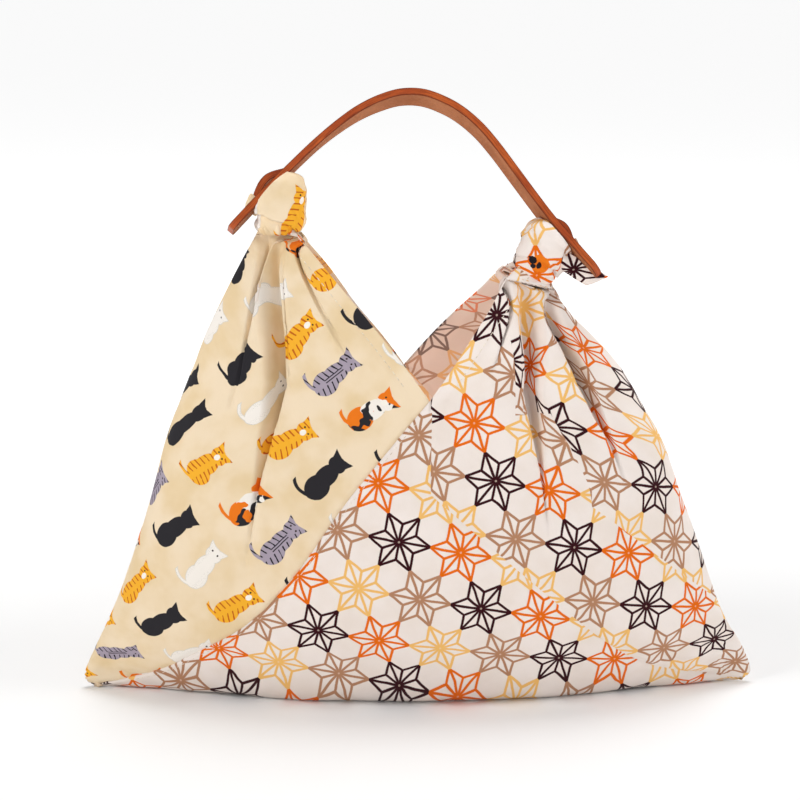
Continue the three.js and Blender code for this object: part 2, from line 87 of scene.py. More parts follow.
EDGES = dict(
    left=dict(
        cloth=[HALF, 162, 178, 194, 208, 222],
        front_x=[1.8, -8.3, -21.5, -33.8, -44.5, -55.5],
        front_y=[-37, -32, -25.3, -18.5, -12.2, -4.5],
        front_z=[134.4, 148, 164, 178.2, 190.5, 203],
        back_x=[-5, -14.5, -27, -38, -48, -55.5],
        back_y=[37, 30.5, 22.5, 15.2, 9, 4.5],
        back_z=[137, 150.5, 166.5, 182.5, 195, 204],
    ),
    right=dict(
        cloth=[HALF, 161, 172, 183, 194, 205],
        front_x=[1.8, 11.5, 19.5, 28, 35, 43.5],
        front_y=[-37, -31, -25, -18, -11, -5],
        front_z=[134.4, 147, 158.3, 170, 181.5, 188.5],
        back_x=[-5, 5.8, 15.5, 25.5, 34.5, 43.5],
        back_y=[37, 31.5, 26.5, 20.8, 13, 5.5],
        back_z=[137, 150.5, 161.5, 172, 182.5, 189.5],
    ),
)
NECK = dict(left=222, right=205)      # the level that a knot gathers
# How far the left cloth has slipped round to the front at each level, as a share of a half level.
SLIP = dict(cloth=[0, 9, 18, 27, 36, 53, 62, 80, 110, 150],
            share=[0, 0.05, 0.07, 0.085, 0.09, 0.118, 0.125, 0.10, 0.04, 0])
# Pleats that run down from each knot: place from the side fold (0) to the middle or edge (1),
# share of the spare cloth at the neck and at the notch, the level where it has smoothed out,
# and how far its trough leans over to the middle.
PLEATS = dict(
    left_front=[(0.24, 0.24, 0.06, 120, 0), (0.44, 0.5, 0.6, 60, 0.3), (0.8, 0.13, 0, 140, 0)],
    left_back=[(0.34, 0.45, 0.4, 90, 0), (0.7, 0.45, 0.3, 80, 0)],
    right_front=[(0.3, 0.3, 0.34, 95, -0.25), (0.6, 0.48, 0.4, 85, 0), (0.84, 0.13, 0, 140, 0)],
    right_back=[(0.3, 0.45, 0.36, 80, 0), (0.66, 0.45, 0.34, 90, 0)],
)
# Soft creases in the cloth: from x, z to x, z across the face, then depth and half width.
# A negative depth is a ridge.
CREASES = dict(
    front=[
        (-62, 205, -60, 150, 1.6, 2.6), (-60, 150, -56, 105, 1.0, 5.0),
        (-45, 172, -30, 128, 0.7, 6.0), (-80, 150, -92, 105, 0.7, 6.0),
        (-66, 128, -58, 92, -0.7, 4.0), (-20, 120, -48, 60, 0.5, 9.0),
        (44, 178, 41, 130, 1.2, 3.4), (41, 130, 46, 100, 0.8, 5.0),
        (66, 160, 82, 118, 1.2, 3.4), (82, 118, 94, 90, 0.7, 5.0),
        (28, 150, 34, 112, -0.7, 4.0), (58, 138, 66, 96, -0.8, 5.0),
        (108, 14, 136, 10, 1.1, 2.2), (104, 24, 138, 16, 0.7, 2.6), (116, 6, 143, 5, 0.9, 1.8),
        (122, 34, 137, 18, 0.7, 2.6), (-138, 12, -122, 20, 0.8, 2.4), (-140, 8, -124, 7, 0.8, 2.0),
        (8, 128, 22, 96, 0.5, 5.0), (60, 60, 96, 44, 0.5, 7.0), (-12, 44, 26, 34, 0.5, 7.0),
    ],
    back=[
        (-60, 200, -66, 140, 1.2, 3.0), (-84, 170, -96, 120, 0.9, 4.5),
        (-34, 160, -52, 110, 0.7, 6.0), (46, 178, 40, 120, 1.2, 3.4),
        (66, 158, 84, 112, 1.0, 4.0), (20, 140, 34, 96, 0.6, 6.0),
        (106, 16, 136, 10, 1.0, 2.4), (-106, 15, -136, 9, 1.0, 2.4), (-10, 60, 40, 44, 0.5, 8.0),
    ],
)
# Uneven swells all over the cloth: how many, from and to what length, and the longest's height.
RIPPLES = [(24, 16, 46, 0.07), (30, 7, 15, 0.022)]
EVEN_PRINT = 165.0                    # above this level the print climbs at an even rate


# ---- the hanging surface ----
def ease(low, high, value):
    f = np.clip((value - low) / (high - low), 0, 1)
    return f * f * (3 - 2 * f)


def fade(low, high, value):
    return 1 - ease(low, high, value)


def bump(gap):
    return np.exp(-(gap**2))


def unit(vectors):
    return vectors / np.maximum(np.linalg.norm(vectors, axis=-1, keepdims=True), 1e-9)


def lengths(points):
    """How far along a line of points each one is."""
    return np.concatenate([[0], np.cumsum(np.linalg.norm(np.diff(points, axis=0), axis=1))])


def between(place, places, rows):
    """A row of values at a place, from the rows at known places."""
    return np.stack([np.interp(place, places, column) for column in np.transpose(rows)], -1)


def line_gap(across, up, line, past=0.0):
    """Distance from a line's ends x, z, x, z (or a little past them), and the share along it."""
    way = np.array([line[2] - line[0], line[3] - line[1]])
    offset = np.stack([across - line[0], up - line[1]], -1)
    f = np.clip((offset @ way) / (way @ way), -past, 1 + past)
    return np.linalg.norm(offset - f[..., None] * way, axis=-1), f


def read(table, column, cloth):
    """A column of a table at a level, along a smooth curve through its rows."""
    keys, values = np.array(table["cloth"], float), np.array(table[column], float)
    last = len(keys) - 1
    row = int(np.clip(np.searchsorted(keys, cloth, side="left") - 1, 0, last - 1))
    before, after = np.maximum(np.arange(last + 1) - 1, 0), np.minimum(np.arange(last + 1) + 1, last)
    slope = (values[after] - values[before]) / (keys[after] - keys[before])
    span = keys[row + 1] - keys[row]
    f = np.clip((cloth - keys[row]) / span, 0, 1)
    rise = 3 * f**2 - 2 * f**3
    return ((1 - rise) * values[row] + rise * values[row + 1]
            + (f**3 - 2 * f**2 + f) * span * slope[row] + (f**3 - f**2) * span * slope[row + 1])


def quarter(name, face, cloth):
    """The quarter of a level from the side fold to the middle or a tail's edge."""
    side = (read(SIDE[name], "x", cloth), read(SIDE[name], "z", cloth))
    if cloth > HALF:
        edge = [read(EDGES[name], f"{face}_{axis}", cloth) for axis in "xyz"]
        return side, edge, 1.0, FULL - cloth
    depth = read(MIDDLE, "depth", cloth)
    rise = (cloth / HALF) ** 3
    height = read(MIDDLE, "height", cloth) + (BACK_RISE * rise if face == "back" else 0)
    edge = [NOTCH_SHIFT[face] * rise, -depth if face == "front" else depth, height]
    return side, edge, read(MIDDLE, "lift", cloth), HALF


def on_quarter(curve, angle):
    side, edge, lift, _ = curve
    c, s = np.cos(angle), np.sin(angle)
    z = edge[2] + (side[1] - edge[2]) * np.abs(c) ** lift
    return np.stack([edge[0] + (side[0] - edge[0]) * c, edge[1] * s, z], -1)


def slipped(name, place, cloth):
    if name == "right":
        return place
    return place + np.interp(cloth, SLIP["cloth"], SLIP["share"]) * (1 - place * place)


def pleat_list(name, face, cloth, spare, length):
    """Where each pleat is on a level, the cloth that it takes in, and its half width."""
    found = []
    for place, neck, notch, ends, lean in PLEATS[f"{name}_{face}"]:
        share = notch + (neck - notch) * ease(HALF, NECK[name], cloth)
        if cloth < HALF:
            share = notch * ease(ends, HALF, cloth)
        taken = share * spare / (1 - FOLD_RATE)
        found.append((place, taken, taken / 2 / length, lean))
    return found


def level(name, places, cloth):
    """Points of one level, for places from -1 (middle of the back) to 1 (of the front)."""
    points = np.zeros((len(places), 3))
    turned = slipped(name, np.asarray(places, float), cloth)
    for face in ("front", "back"):
        here = (turned >= 0) == (face == "front")
        if not here.any():
            continue
        curve = quarter(name, face, cloth)
        across = np.abs(turned[here])
        angles = np.linspace(0, math.pi / 2, 65)
        marks = lengths(on_quarter(curve, angles))
        arc, length = marks[-1], curve[3]
        pleats = pleat_list(name, face, cloth, max(0, length - arc), length)
        taken_all = sum(pleat[1] for pleat in pleats)
        rate = (arc - FOLD_RATE * taken_all) / (length - taken_all)
        travelled = across * length * rate
        inward, tipped = np.zeros_like(across), np.zeros_like(across)
        for place, taken, half, lean in pleats:
            if taken <= 0:
                continue
            inside = np.clip((across - place) / half, -1, 1)
            travelled += (inside + 1) / 2 * taken * (FOLD_RATE - rate)
            room = min(PLEAT_DEPTH * taken, PLEAT_ROOM * abs(curve[1][1]))
            depth = room * (0.2 * (1 - np.abs(inside)) + 0.8 * np.cos(inside * math.pi / 2) ** 2)
            inward += depth
            tipped += depth * lean
        angle = np.interp(np.clip(travelled, 0, arc), marks, angles)
        point = on_quarter(curve, angle)
        tangent = (on_quarter(curve, np.minimum(angle + 0.01, math.pi / 2))
                   - on_quarter(curve, np.maximum(angle - 0.01, 0)))
        tangent[:, 2] = 0
        tangent = unit(tangent)
        turn = (1 if face == "front" else -1) * np.sign(curve[0][0] - curve[1][0])
        inwards = np.stack([tangent[:, 1] * turn, -tangent[:, 0] * turn, np.zeros(len(angle))], -1)
        points[here] = point + inwards * inward[:, None] + tangent * tipped[:, None]
    points[:, 0] += CENTRE_SHIFT
    points[:, 2] = np.maximum(0, points[:, 2] - REST_CUT)
    return points


class Net:
    """One side of the bag: levels up the cloth, columns from the back's middle to the front's."""

    def __init__(self, name):
        self.name = name
        body = np.arange(COLUMNS + 1) * STEP
        self.cloth = np.concatenate([body, np.arange(HALF + STEP, NECK[name] + 1, STEP)])
        self.places = np.linspace(-1, 1, 2 * COLUMNS + 1)
        self.points = np.stack([level(name, self.places, cloth) for cloth in self.cloth])
        along, up = np.gradient(self.points, axis=1), np.gradient(self.points, axis=0)
        self.normals = unit(np.cross(along, up) * (1 if name == "left" else -1))
        self.u, self.v = self._chart(along, up)

    def _chart(self, along, up):
        """Distances along and up the cloth, measured from the middle of the front's bottom."""
        normal = unit(np.cross(along, up))
        level_way = unit(along * [1, 1, 0])
        level_way = unit(level_way - (level_way * normal).sum(-1, keepdims=True) * normal)
        up_way = np.cross(normal, level_way)
        up_way *= np.where((up_way * up).sum(-1, keepdims=True) < 0, -1, 1)

        def measured(way, axis):
            ways = np.moveaxis(way, axis, 0)
            steps = np.moveaxis(np.diff(self.points, axis=axis), axis, 0)
            return np.moveaxis((unit(ways[1:] + ways[:-1]) * steps).sum(-1), 0, axis)

        u, v = np.zeros(self.points.shape[:2]), np.zeros(self.points.shape[:2])
        near_knot = self.cloth[1:] > EVEN_PRINT
        for values, way in ((u, level_way), (v, up_way)):
            climbs, steps = measured(way, 0), measured(way, 1)
            climbs[near_knot] = climbs[near_knot].mean(0)
            values[1:, -1] = np.cumsum(climbs[:, -1])
            values[:, :-1] = values[:, -1:] - np.cumsum(steps[:, ::-1], axis=1)[:, ::-1]
            # behind, and round the side fold, the print runs straight up each strip between pleats
            marks = values[COLUMNS:].copy()
            pleats = [pleat[0] for pleat in PLEATS[f"{self.name}_back"]]
            bounds = [0] + [round(COLUMNS * (1 - place)) for place in pleats[::-1]]
            if self.name == "right":
                bounds.append(round(COLUMNS * (1 + PLEATS["right_front"][0][0])))
            for low, high in zip(bounds, bounds[1:]):
                middle = (low + high) // 2
                climb = np.concatenate([[0], np.cumsum(climbs[COLUMNS:, middle])])
                values[COLUMNS:, low:high] = ((marks[0, middle] + climb)[:, None]
                                              + marks[:, low:high] - marks[:, [middle]])
        return (u if self.name == "left" else -u), v


def crease_depth(points, normals):
    """How far the listed creases press in at each point."""
    total = np.zeros(points.shape[:-1])
    for face, sign in (("front", -1), ("back", 1)):
        facing = ease(0.05, 0.4, normals[..., 1] * sign)
        for *line, depth, half in CREASES[face]:
            gap, f = line_gap(points[..., 0], points[..., 2], line, 0.25)
            ends = ease(-0.25, 0.15, f) * fade(0.85, 1.25, f)
            total += depth * bump(gap / half) * ends * facing
    return total


def ripples(points):
    """Small uneven swells of the cloth, worked out from fixed waves of mixed direction."""
    waves = np.random.default_rng(11)
    total = np.zeros(points.shape[:-1])
    for count, short, long, height in RIPPLES:
        for _ in range(count):
            way = unit(waves.normal(size=3) * [1, 0.7, 0.6])
            length = waves.uniform(short, long)
            wave = np.sin(points @ way * 2 * math.pi / length + waves.uniform(0, 2 * math.pi))
            total += wave * height * length / long
    return total


# ---- meshes from arrays ----
def make_piece(name, points, faces, materials, values=None, smooth=True):
    """An object from points in millimetres, with named values stored at its points."""
    mesh = bpy.data.meshes.new(name)
    mesh.from_pydata((np.asarray(points) * MM).tolist(), [], [list(face) for face in faces])
    for key, rows in (values or {}).items():
        layer = mesh.attributes.new(key, "FLOAT_VECTOR", "POINT")
        layer.data.foreach_set("vector", np.asarray(rows, np.float32).ravel())
    mesh.polygons.foreach_set("use_smooth", [smooth] * len(mesh.polygons))
    piece = bpy.data.objects.new(name, mesh)
    bpy.context.scene.collection.objects.link(piece)
    for material in materials:
        mesh.materials.append(material)
    return piece


def settle(piece):
    """Applies a piece's modifiers to its mesh."""
    bpy.context.view_layer.objects.active = piece
    for other in bpy.context.selected_objects:
        other.select_set(False)
    piece.select_set(True)
    for modifier in list(piece.modifiers):
        bpy.ops.object.modifier_apply(modifier=modifier.name)


def grid_faces(rows, columns, closed=False):
    """Quads of a grid of points; a closed grid joins its last column to its first."""
    faces = []
    for row in range(rows - 1):
        for column in range(columns if closed else columns - 1):
            after = (column + 1) % columns
            faces.append((row * columns + column, row * columns + after,
                          (row + 1) * columns + after, (row + 1) * columns + column))
    return faces


def joined(parts):
    """Points and faces of one mesh from those of several."""
    points, faces, total = [], [], 0
    for part_points, part_faces in parts:
        points.append(part_points)
        faces += [tuple(total + int(corner) for corner in face) for face in part_faces]
        total += len(part_points)
    return np.concatenate(points), faces


def circle(count):
    """Evenly spaced angles all the way round."""
    return np.linspace(0, 2 * math.pi, count, endpoint=False)


# ---- the two cloths ----
HEM = 6.0                             # width of the folded hem along the opening
SEAM_LAP = 2                          # columns of cat cloth that run under the star cloth
SEAM_STEP = 0.9                       # how far the cat cloth drops under the star cloth
SEAM_GAP = 0.05                       # between the two cloths
SEAM_RISE = 0.25                      # how far the star cloth's edge stands out over the seam
HEM_STITCHES, SEAM_STITCHES = 5.0, 1.6      # distance of the stitches from the opening, and the seam
STITCHED_ROWS = (8, COLUMNS - 4)      # the levels between which the seam is stitched
HEM_PROUD = 0.3                       # how far the folded hem stands out
EDGE_CALM = dict(gap=(-4, 10), least=0.2)      # creases are weaker near the opening
# The tucks at the ends of the bottom fold: their depth, and where they come and go along X and Z.
TUCKS = dict(depth=0.8, x=(118, 140), x_gone=(134, 142), z_gone=(14, 34), wave_x=0.35, wave_z=1.3)
# The upper seam's ridge and groove: place from the seam, half width, and how far it stands out.
SEAM_FORM = ((2.6, 2.0, 0.35), (0, 0.8, -0.55))
# The front's upper seam: it drops from the notch, then slants down to the right corner.
NOTCH_SEAM = dict(u=2.2, turn_u=3.0, turn_v=127.0, slope=0.886)


def notch_seam_gap(u, v):
    """Distance from the front's upper seam, positive on the right tail's side."""
    seam = NOTCH_SEAM
    slanted = (v - seam["turn_v"] + seam["slope"] * (u - seam["turn_u"])) * 0.75
    return np.minimum(u - seam["u"], slanted)


def edge_gap(net):
    """Distance of every point of a net from the bag's opening."""
    gap = np.zeros(net.u.shape)
    for edge, columns in ((-1, slice(COLUMNS, None)), (0, slice(0, COLUMNS + 1))):
        away = np.abs(net.u[:, columns] - net.u[:, [edge]])
        high = net.cloth >= HALF
        gap[high, columns] = away[high] * math.sqrt(0.5)
        below = np.abs(HALF - net.cloth[~high])
        gap[~high, columns] = np.hypot(away[~high], below[:, None])
    return gap


def dress(net):
    """Works out a net's final points, and what the prints and hems need at each of them."""
    across = np.abs(np.arange(2 * COLUMNS + 1) - COLUMNS)
    rows = np.arange(len(net.cloth))
    # from the seam between the squares: positive towards the middle
    net.seam = (across[None, :] - np.minimum(rows, COLUMNS)[:, None]) * STEP * math.sqrt(0.5)
    net.seam[rows > COLUMNS] = FAR
    net.front = (np.arange(2 * COLUMNS + 1) >= COLUMNS)[None, :] * np.ones_like(net.u, bool)
    net.hem = edge_gap(net)
    push = ripples(net.points) - crease_depth(net.points, net.normals)
    push *= EDGE_CALM["least"] + (1 - EDGE_CALM["least"]) * ease(*EDGE_CALM["gap"], net.hem)
    push += HEM_PROUD * fade(HEM - 0.6, HEM + 0.6, net.hem)
    x, z = net.points[..., 0], net.points[..., 2]
    corner = ease(*TUCKS["x"], np.abs(x)) * fade(*TUCKS["x_gone"], np.abs(x)) * fade(*TUCKS["z_gone"], z)
    push -= TUCKS["depth"] * corner * np.sin(z * TUCKS["wave_z"] + x * TUCKS["wave_x"]) ** 2
    if net.name == "right":
        net.tail = np.where(net.front, notch_seam_gap(net.u, net.v), -net.seam)
        push += sum(proud * bump((net.tail - place) / half) for place, half, proud in SEAM_FORM)
    else:
        net.tail = -np.abs(net.seam) - NOT_TAIL
    flat = net.points[..., 2] <= 0.01
    net.points = net.points + net.normals * np.where(flat, 0, push)[..., None]
    net.points[..., 2] = np.maximum(net.points[..., 2], 0)


def charts(net):
    """The print's coordinates: one chart runs round the side fold, one over the middle square."""
    side, sign = net.u[:, [COLUMNS]], 1 if net.name == "right" else -1
    round_side = np.where(net.front, net.u, side + sign * np.abs(net.u - side))
    middle = np.where(net.front, net.u, sign * np.abs(net.u - net.u[:, [0]]))
    middle_v = np.where(net.front, net.v, -net.v)
    return (np.stack([round_side, net.v, net.tail], -1), np.stack([middle, middle_v, net.tail], -1))


def join_nets(left, right):
    """Makes the nets meet exactly at the middle and along the bottom fold."""
    for net in (left, right):
        mean = (net.points[0] + net.points[0, ::-1]) / 2
        net.points[0] = mean
    for column in (0, -1):
        rows = slice(0, COLUMNS + 1)
        mean = (left.points[rows, column] + right.points[rows, column]) / 2
        left.points[rows, column] = right.points[rows, column] = mean


def quads(net, wanted):
    """A net's faces, facing out, of which `wanted` says what part belongs to a cloth."""
    columns = 2 * COLUMNS + 1
    faces = []
    for row in range(len(net.cloth) - 1):
        for column in range(columns - 1):
            on_front = column >= COLUMNS
            inner = column - COLUMNS if on_front else COLUMNS - 1 - column
            low_side, low_mid = (column, column + 1) if on_front else (column + 1, column)
            ring = [row * columns + low_side, (row + 1) * columns + low_side,
                    (row + 1) * columns + low_mid, row * columns + low_mid]
            kept = dict(none=[], side=[0, 1, 2], middle=[0, 2, 3], whole=[0, 1, 2, 3])[wanted(row, inner)]
            ring = [ring[corner] for corner in kept]
            outward = on_front != (net.name == "left")
            if ring:
                faces.append(ring if outward else ring[::-1])
    return faces


def star_part(row, inner):
    if row >= COLUMNS or inner < row:
        return "none"
    return "middle" if inner == row else "whole"


def cat_part(row, inner):
    if row >= COLUMNS or inner <= row + SEAM_LAP - 1:
        return "whole"
    return "side" if inner == row + SEAM_LAP else "none"


def cloth_piece(name, parts, materials):
    """One cloth from parts of nets: (net, faces, offset along the normal at each point)."""
    meshes, tails, bodies, thick = [], [], [], []
    for net, net_faces, offset in parts:
        used = np.unique(np.concatenate(net_faces))
        place = {corner: i for i, corner in enumerate(used)}
        doubled = np.maximum(fade(HEM - 0.4, HEM + 0.4, net.hem),
                             fade(2.2, 3.0, np.abs(net.seam)) * (net.name == "left"))
        points = net.points + net.normals * offset[..., None]
        points, tail, body, doubled = (values.reshape(net.u.size, -1)[used]
                                       for values in (points, *charts(net), doubled))
        meshes.append((points, [[place[corner] for corner in face] for face in net_faces]))
        tails.append(tail)
        bodies.append(body)
        thick.append(doubled)
    piece = make_piece(name, *joined(meshes), materials,
                       dict(print_tail=np.concatenate(tails), print_body=np.concatenate(bodies)))
    group = piece.vertex_groups.new(name="doubled")
    for index, weight in enumerate(np.concatenate(thick).ravel()):
        if weight > 0.01:
            group.add([index], float(weight), "REPLACE")
    weld = piece.modifiers.new("weld", "WELD")
    weld.merge_threshold = 0.02 * MM
    solid = piece.modifiers.new("layer", "SOLIDIFY")
    solid.thickness, solid.offset = 2 * CLOTH * MM, -1
    solid.vertex_group, solid.thickness_vertex_group = "doubled", 0.5
    solid.material_offset = 1
    settle(piece)
    return piece


# ---- stitches ----
STITCH = dict(long=1.9, pitch=3.0, radius=0.16, proud=0.05)
# Rings of one stitch: share of its length, and share of its radius across and out of the cloth.
THREAD_RINGS = ((0, 0.35, -0.9), (0.16, 1, 0.1), (0.5, 1, 0.35), (0.84, 1, 0.1), (1, 0.35, -0.9))


def capsule(start, end, out, radius, sides=6):
    """Points and faces of one short thread that dips into the cloth at both ends."""
    way = unit(end - start)
    across = unit(np.cross(way, out))
    rings = []
    for f, scale, height in THREAD_RINGS:
        middle = start + (end - start) * f + out * radius * height
        for k in range(sides):
            angle = 2 * math.pi * k / sides
            rings.append(middle + radius * scale * (across * math.cos(angle) + out * math.sin(angle)))
    return np.array(rings), grid_faces(5, sides, closed=True)


def stitch_piece(name, lines, material):
    """Running stitches along several lines of points with their outward directions."""
    threads = []
    for line, outs in lines:
        marks = lengths(line)
        for start in np.arange(1.0, marks[-1] - STITCH["long"] - 1, STITCH["pitch"]):
            ends = between([start, start + STITCH["long"]], marks, line)
            out = unit(between(start + 1, marks, outs))
            threads.append(capsule(*(ends + out * STITCH["proud"]), out, STITCH["radius"]))
    return make_piece(name, *joined(threads), [material])


def line_at_gap(net, front, gap):
    """The line on a tail that runs a constant distance in from its opening edge."""
    points, outs = [], []
    columns = slice(COLUMNS, None) if front else slice(COLUMNS, None, -1)
    for row in np.flatnonzero(net.cloth >= HALF + 4):
        gaps = net.hem[row, columns]
        order = np.argsort(gaps)
        points.append(between(gap, gaps[order], net.points[row, columns][order]))
        outs.append(between(gap, gaps[order], net.normals[row, columns][order]))
    return np.array(points), unit(np.array(outs))


def line_at_seam(net, front, gap):
    """The line on the star cloth that runs beside the slanted seam of the left net."""
    points, outs = [], []
    shift = gap / (STEP * math.sqrt(0.5))
    for row in range(*STITCHED_ROWS):
        place = min(row + shift, COLUMNS)
        column = COLUMNS + place if front else COLUMNS - place
        low = int(min(math.floor(column), 2 * COLUMNS - 1))
        f = column - low
        points.append(net.points[row, low] * (1 - f) + net.points[row, low + 1] * f)
        outs.append(net.normals[row, low])
    return np.array(points), np.array(outs)


# ---- the handle ----
STRAP = dict(width=15.5, thick=3.1, slit=3.8, lean=21, pivot=200)   # the lean turns about z 200
ARCH = [  # the strap's upper face from the left end: x, and rise up the leaning plane
    (-81.5, 1), (-75, 8.2), (-68.2, 15.6), (-61.6, 22.4), (-55.3, 28.8), (-45, 38.9), (-35.2, 47.4),
    (-27.1, 53.3), (-18.2, 57.9), (-8.5, 60.8), (1.5, 60.6), (11.3, 57), (18.5, 52.6), (26.1, 45.8),
    (32.7, 37.8), (40.8, 26.4), (48.8, 15), (55.8, 5.4), (63.8, -4.4), (70.5, -12.4), (76, -18.6),
]
STRAP_TWIST = dict(slope=0.09, whole=50, gone=90)      # across its left part, gone by 90 along it
END_ROUND = dict(left=3, right=7)     # radius of the corners at its ends
SLIT_END = dict(gap=0.25, long=2.2)   # half its width at its very end, and the length it widens in
# Each slit along the strap, how far its rear strand bows out, and at what share of its length.
SLITS = dict(left=dict(start=13, end=38, bow=4.6, peak=0.56),
             right=dict(start=181, end=202, bow=4.2, peak=0.45))
STRAP_STEP = 1.0                      # between rows of points along it
END_ROWS = (0, 0.15, 0.5, 1.1, 2.0)   # and closer rows at its ends
STRAND = (1, 0.97, 0.8, 0.5, 0.22, 0.03, 0)    # points from a strand's outer edge to its inner one
EDGE_ROUND = 0.5                      # width of the eased edges
REACH = 0.6                           # to either side of a place, to find which way the arch runs


def arch_line():
    """Points of a centripetal curve through the arch's table, and how far along it each is."""
    knots = np.array(ARCH, float)
    ends = np.array([2 * knots[0] - knots[1], 2 * knots[-1] - knots[-2]])
    knots = np.concatenate([ends[:1], knots, ends[1:]])
    dense = []
    for points in zip(knots, knots[1:], knots[2:], knots[3:]):
        t = np.cumsum([0] + [math.dist(p, q) ** 0.5 for p, q in zip(points, points[1:])])
        s = np.linspace(t[1], t[2], 40, endpoint=False)[:, None]
        for spans in (((0, 1), (1, 2), (2, 3)), ((0, 2), (1, 3)), ((1, 2),)):
            points = [((t[j] - s) * p + (s - t[i]) * q) / (t[j] - t[i])
                      for (i, j), p, q in zip(spans, points, points[1:])]
        dense.append(points[0])
    dense = np.concatenate(dense + [knots[-2:-1]])
    return dense, lengths(dense)


ARCH_POINTS, ARCH_MARKS = arch_line()
ARCH_LENGTH = float(ARCH_MARKS[-1])


def strap_point(along, across, out):
    """A place in the strap's own terms: along it, across its width, out of its upper face."""
    along, across, out = np.broadcast_arrays(*(np.asarray(v, float) for v in (along, across, out)))
    held = np.clip(along, 0, ARCH_LENGTH)
    before, at, after = (between(np.clip(s, 0, ARCH_LENGTH), ARCH_MARKS, ARCH_POINTS)
                         for s in (held - REACH, held, held + REACH))
    way = unit(after - before)
    slope = STRAP_TWIST["slope"] * fade(STRAP_TWIST["whole"], STRAP_TWIST["gone"], along)
    lift = out + slope * (across + STRAP["width"] / 2)
    flat = at + way * (along - held)[..., None]
    x = flat[..., 0] - way[..., 1] * lift
    rise = flat[..., 1] + way[..., 0] * lift
    lean = math.radians(STRAP["lean"])
    y = across * math.cos(lean) + rise * math.sin(lean)
    z = -across * math.sin(lean) + rise * math.cos(lean) + STRAP["pivot"]
    return np.stack([x + CENTRE_SHIFT, y, z], -1)


def bow_at(slit, along):
    """How far a slit's rear strand stands out at a place along the strap."""
    f = np.clip((along - slit["start"]) / (slit["end"] - slit["start"]), 0, 1)
    warped = np.where(f < slit["peak"], f / slit["peak"] * 0.5,
                      0.5 + (f - slit["peak"]) / (1 - slit["peak"]) * 0.5)
    return slit["bow"] * np.sin(math.pi * warped) ** 1.4


def strap_half(along):
    """Half the strap's width, drawn in round the corners of its ends."""
    end = "left" if along < ARCH_LENGTH / 2 else "right"
    from_end = along if end == "left" else ARCH_LENGTH - along
    radius = END_ROUND[end]
    short = min(max(radius - from_end, 0), radius)
    return STRAP["width"] / 2 - radius + math.sqrt(radius**2 - short**2)


def handle_piece(materials):
    """The leather strap: a slit sheet at its upper face, made thick and eased at its edges."""
    rounds, shares = np.array(END_ROWS), np.array(STRAND)
    body = np.arange(3, ARCH_LENGTH - 3, STRAP_STEP)
    along = np.concatenate([rounds, body, ARCH_LENGTH - rounds[::-1]])
    for slit in SLITS.values():
        for end in (slit["start"], slit["end"]):
            along[np.argmin(np.abs(along - end))] = end
    inner = STRAP["slit"] / 2
    places = []
    for s in along:
        half = strap_half(s)
        inside = inner
        slit = next((t for t in SLITS.values() if t["start"] - 1e-6 <= s <= t["end"] + 1e-6), None)
        if slit:
            from_end = min(s - slit["start"], slit["end"] - s)
            opened = math.sqrt(min(1, from_end / SLIT_END["long"]))
            inside = SLIT_END["gap"] + (inner - SLIT_END["gap"]) * opened
        right = inside + (half - inside) * shares
        across = np.concatenate([-right, right[::-1]])
        places.append(np.stack([0 * across + s, across, bow_at(slit, s) * (across > 0) if slit
                                else 0 * across], -1))
    places = np.concatenate(places)
    points = [strap_point(*places.T[:2], places[:, 2] + out) for out in (0, -STRAP["thick"])]
    values = [places * [1, 1, 0] + [0, 0, out] for out in (0, -STRAP["thick"])]
    columns, rows = 2 * len(shares), len(along)
    middle, under = len(shares) - 1, rows * columns
    top = []
    for row in range(rows - 1):
        midway = (along[row] + along[row + 1]) / 2
        in_slit = any(slit["start"] < midway < slit["end"] for slit in SLITS.values())
        for column in range(columns - 1):
            if column != middle or not in_slit:
                corner = row * columns + column
                top.append((corner, corner + 1, corner + columns + 1, corner + columns))
    edges = {(face[k - 1], face[k]) for face in top for k in range(4)}
    walls = [(b, a, a + under, b + under) for a, b in sorted(edges) if (b, a) not in edges]
    bottom = [tuple(corner + under for corner in face[::-1]) for face in top]
    strap = make_piece("handle_strap", np.concatenate(points), top + bottom + walls, materials,
                       dict(strap=np.concatenate(values)))
    strap.data.polygons.foreach_set("material_index", [0] * len(top) + [1] * len(top) + [2] * len(walls))
    bevel = strap.modifiers.new("eased", "BEVEL")
    bevel.width, bevel.segments = EDGE_ROUND * MM, 3
    bevel.limit_method, bevel.angle_limit = "ANGLE", math.radians(50)
    settle(strap)
    return strap


# ---- the knots ----
KNOTS = dict(
    left=dict(middle=(-59.6, 0.5, 212.2), half=(10.6, 11, 13.5), tip=4,
              collar=dict(middle=(-61.2, 0, 202.8), half=(8.6, 8.2, 3.8)), loop=(13.0, 18.2)),
    right=dict(middle=(52, 0.5, 191.6), half=(11, 10.5, 13.5), tip=24,
               collar=dict(middle=(51, 0, 184.6), half=(7.9, 7.4, 3.8)), loop=(197.4, 202.0)),
)
SQUARE = 0.58                         # below 1, a lump's corners are fuller than a ball's
LUMP_INSET = 0.4                      # room for what stands out of a lump
# Where a knot is pressed down by the strap: past the slit's ends, in steps, each this half wide.
PRESS = dict(before=6, after=8, step=3.0, half=1.6)
CLEAR = 0.35                          # cloth to leather
LOOP_CLOTH = 1.5                      # how thick the tail is where it loops over the strap
LOOP_NET = (48, 16)                   # points round the loop, and round its own section
# Where one turn of the knot laps over the one below it: height on the front's left and right,
# at the back, and how far it stands over the turn below, for each lap.
LAPS = dict(
    left=[(-0.28, -0.84, 0.1, 2.4)],
    right=[(-0.42, -0.30, 0.35, 1.7), (0.72, -0.62, 0.0, 1.2)],
)
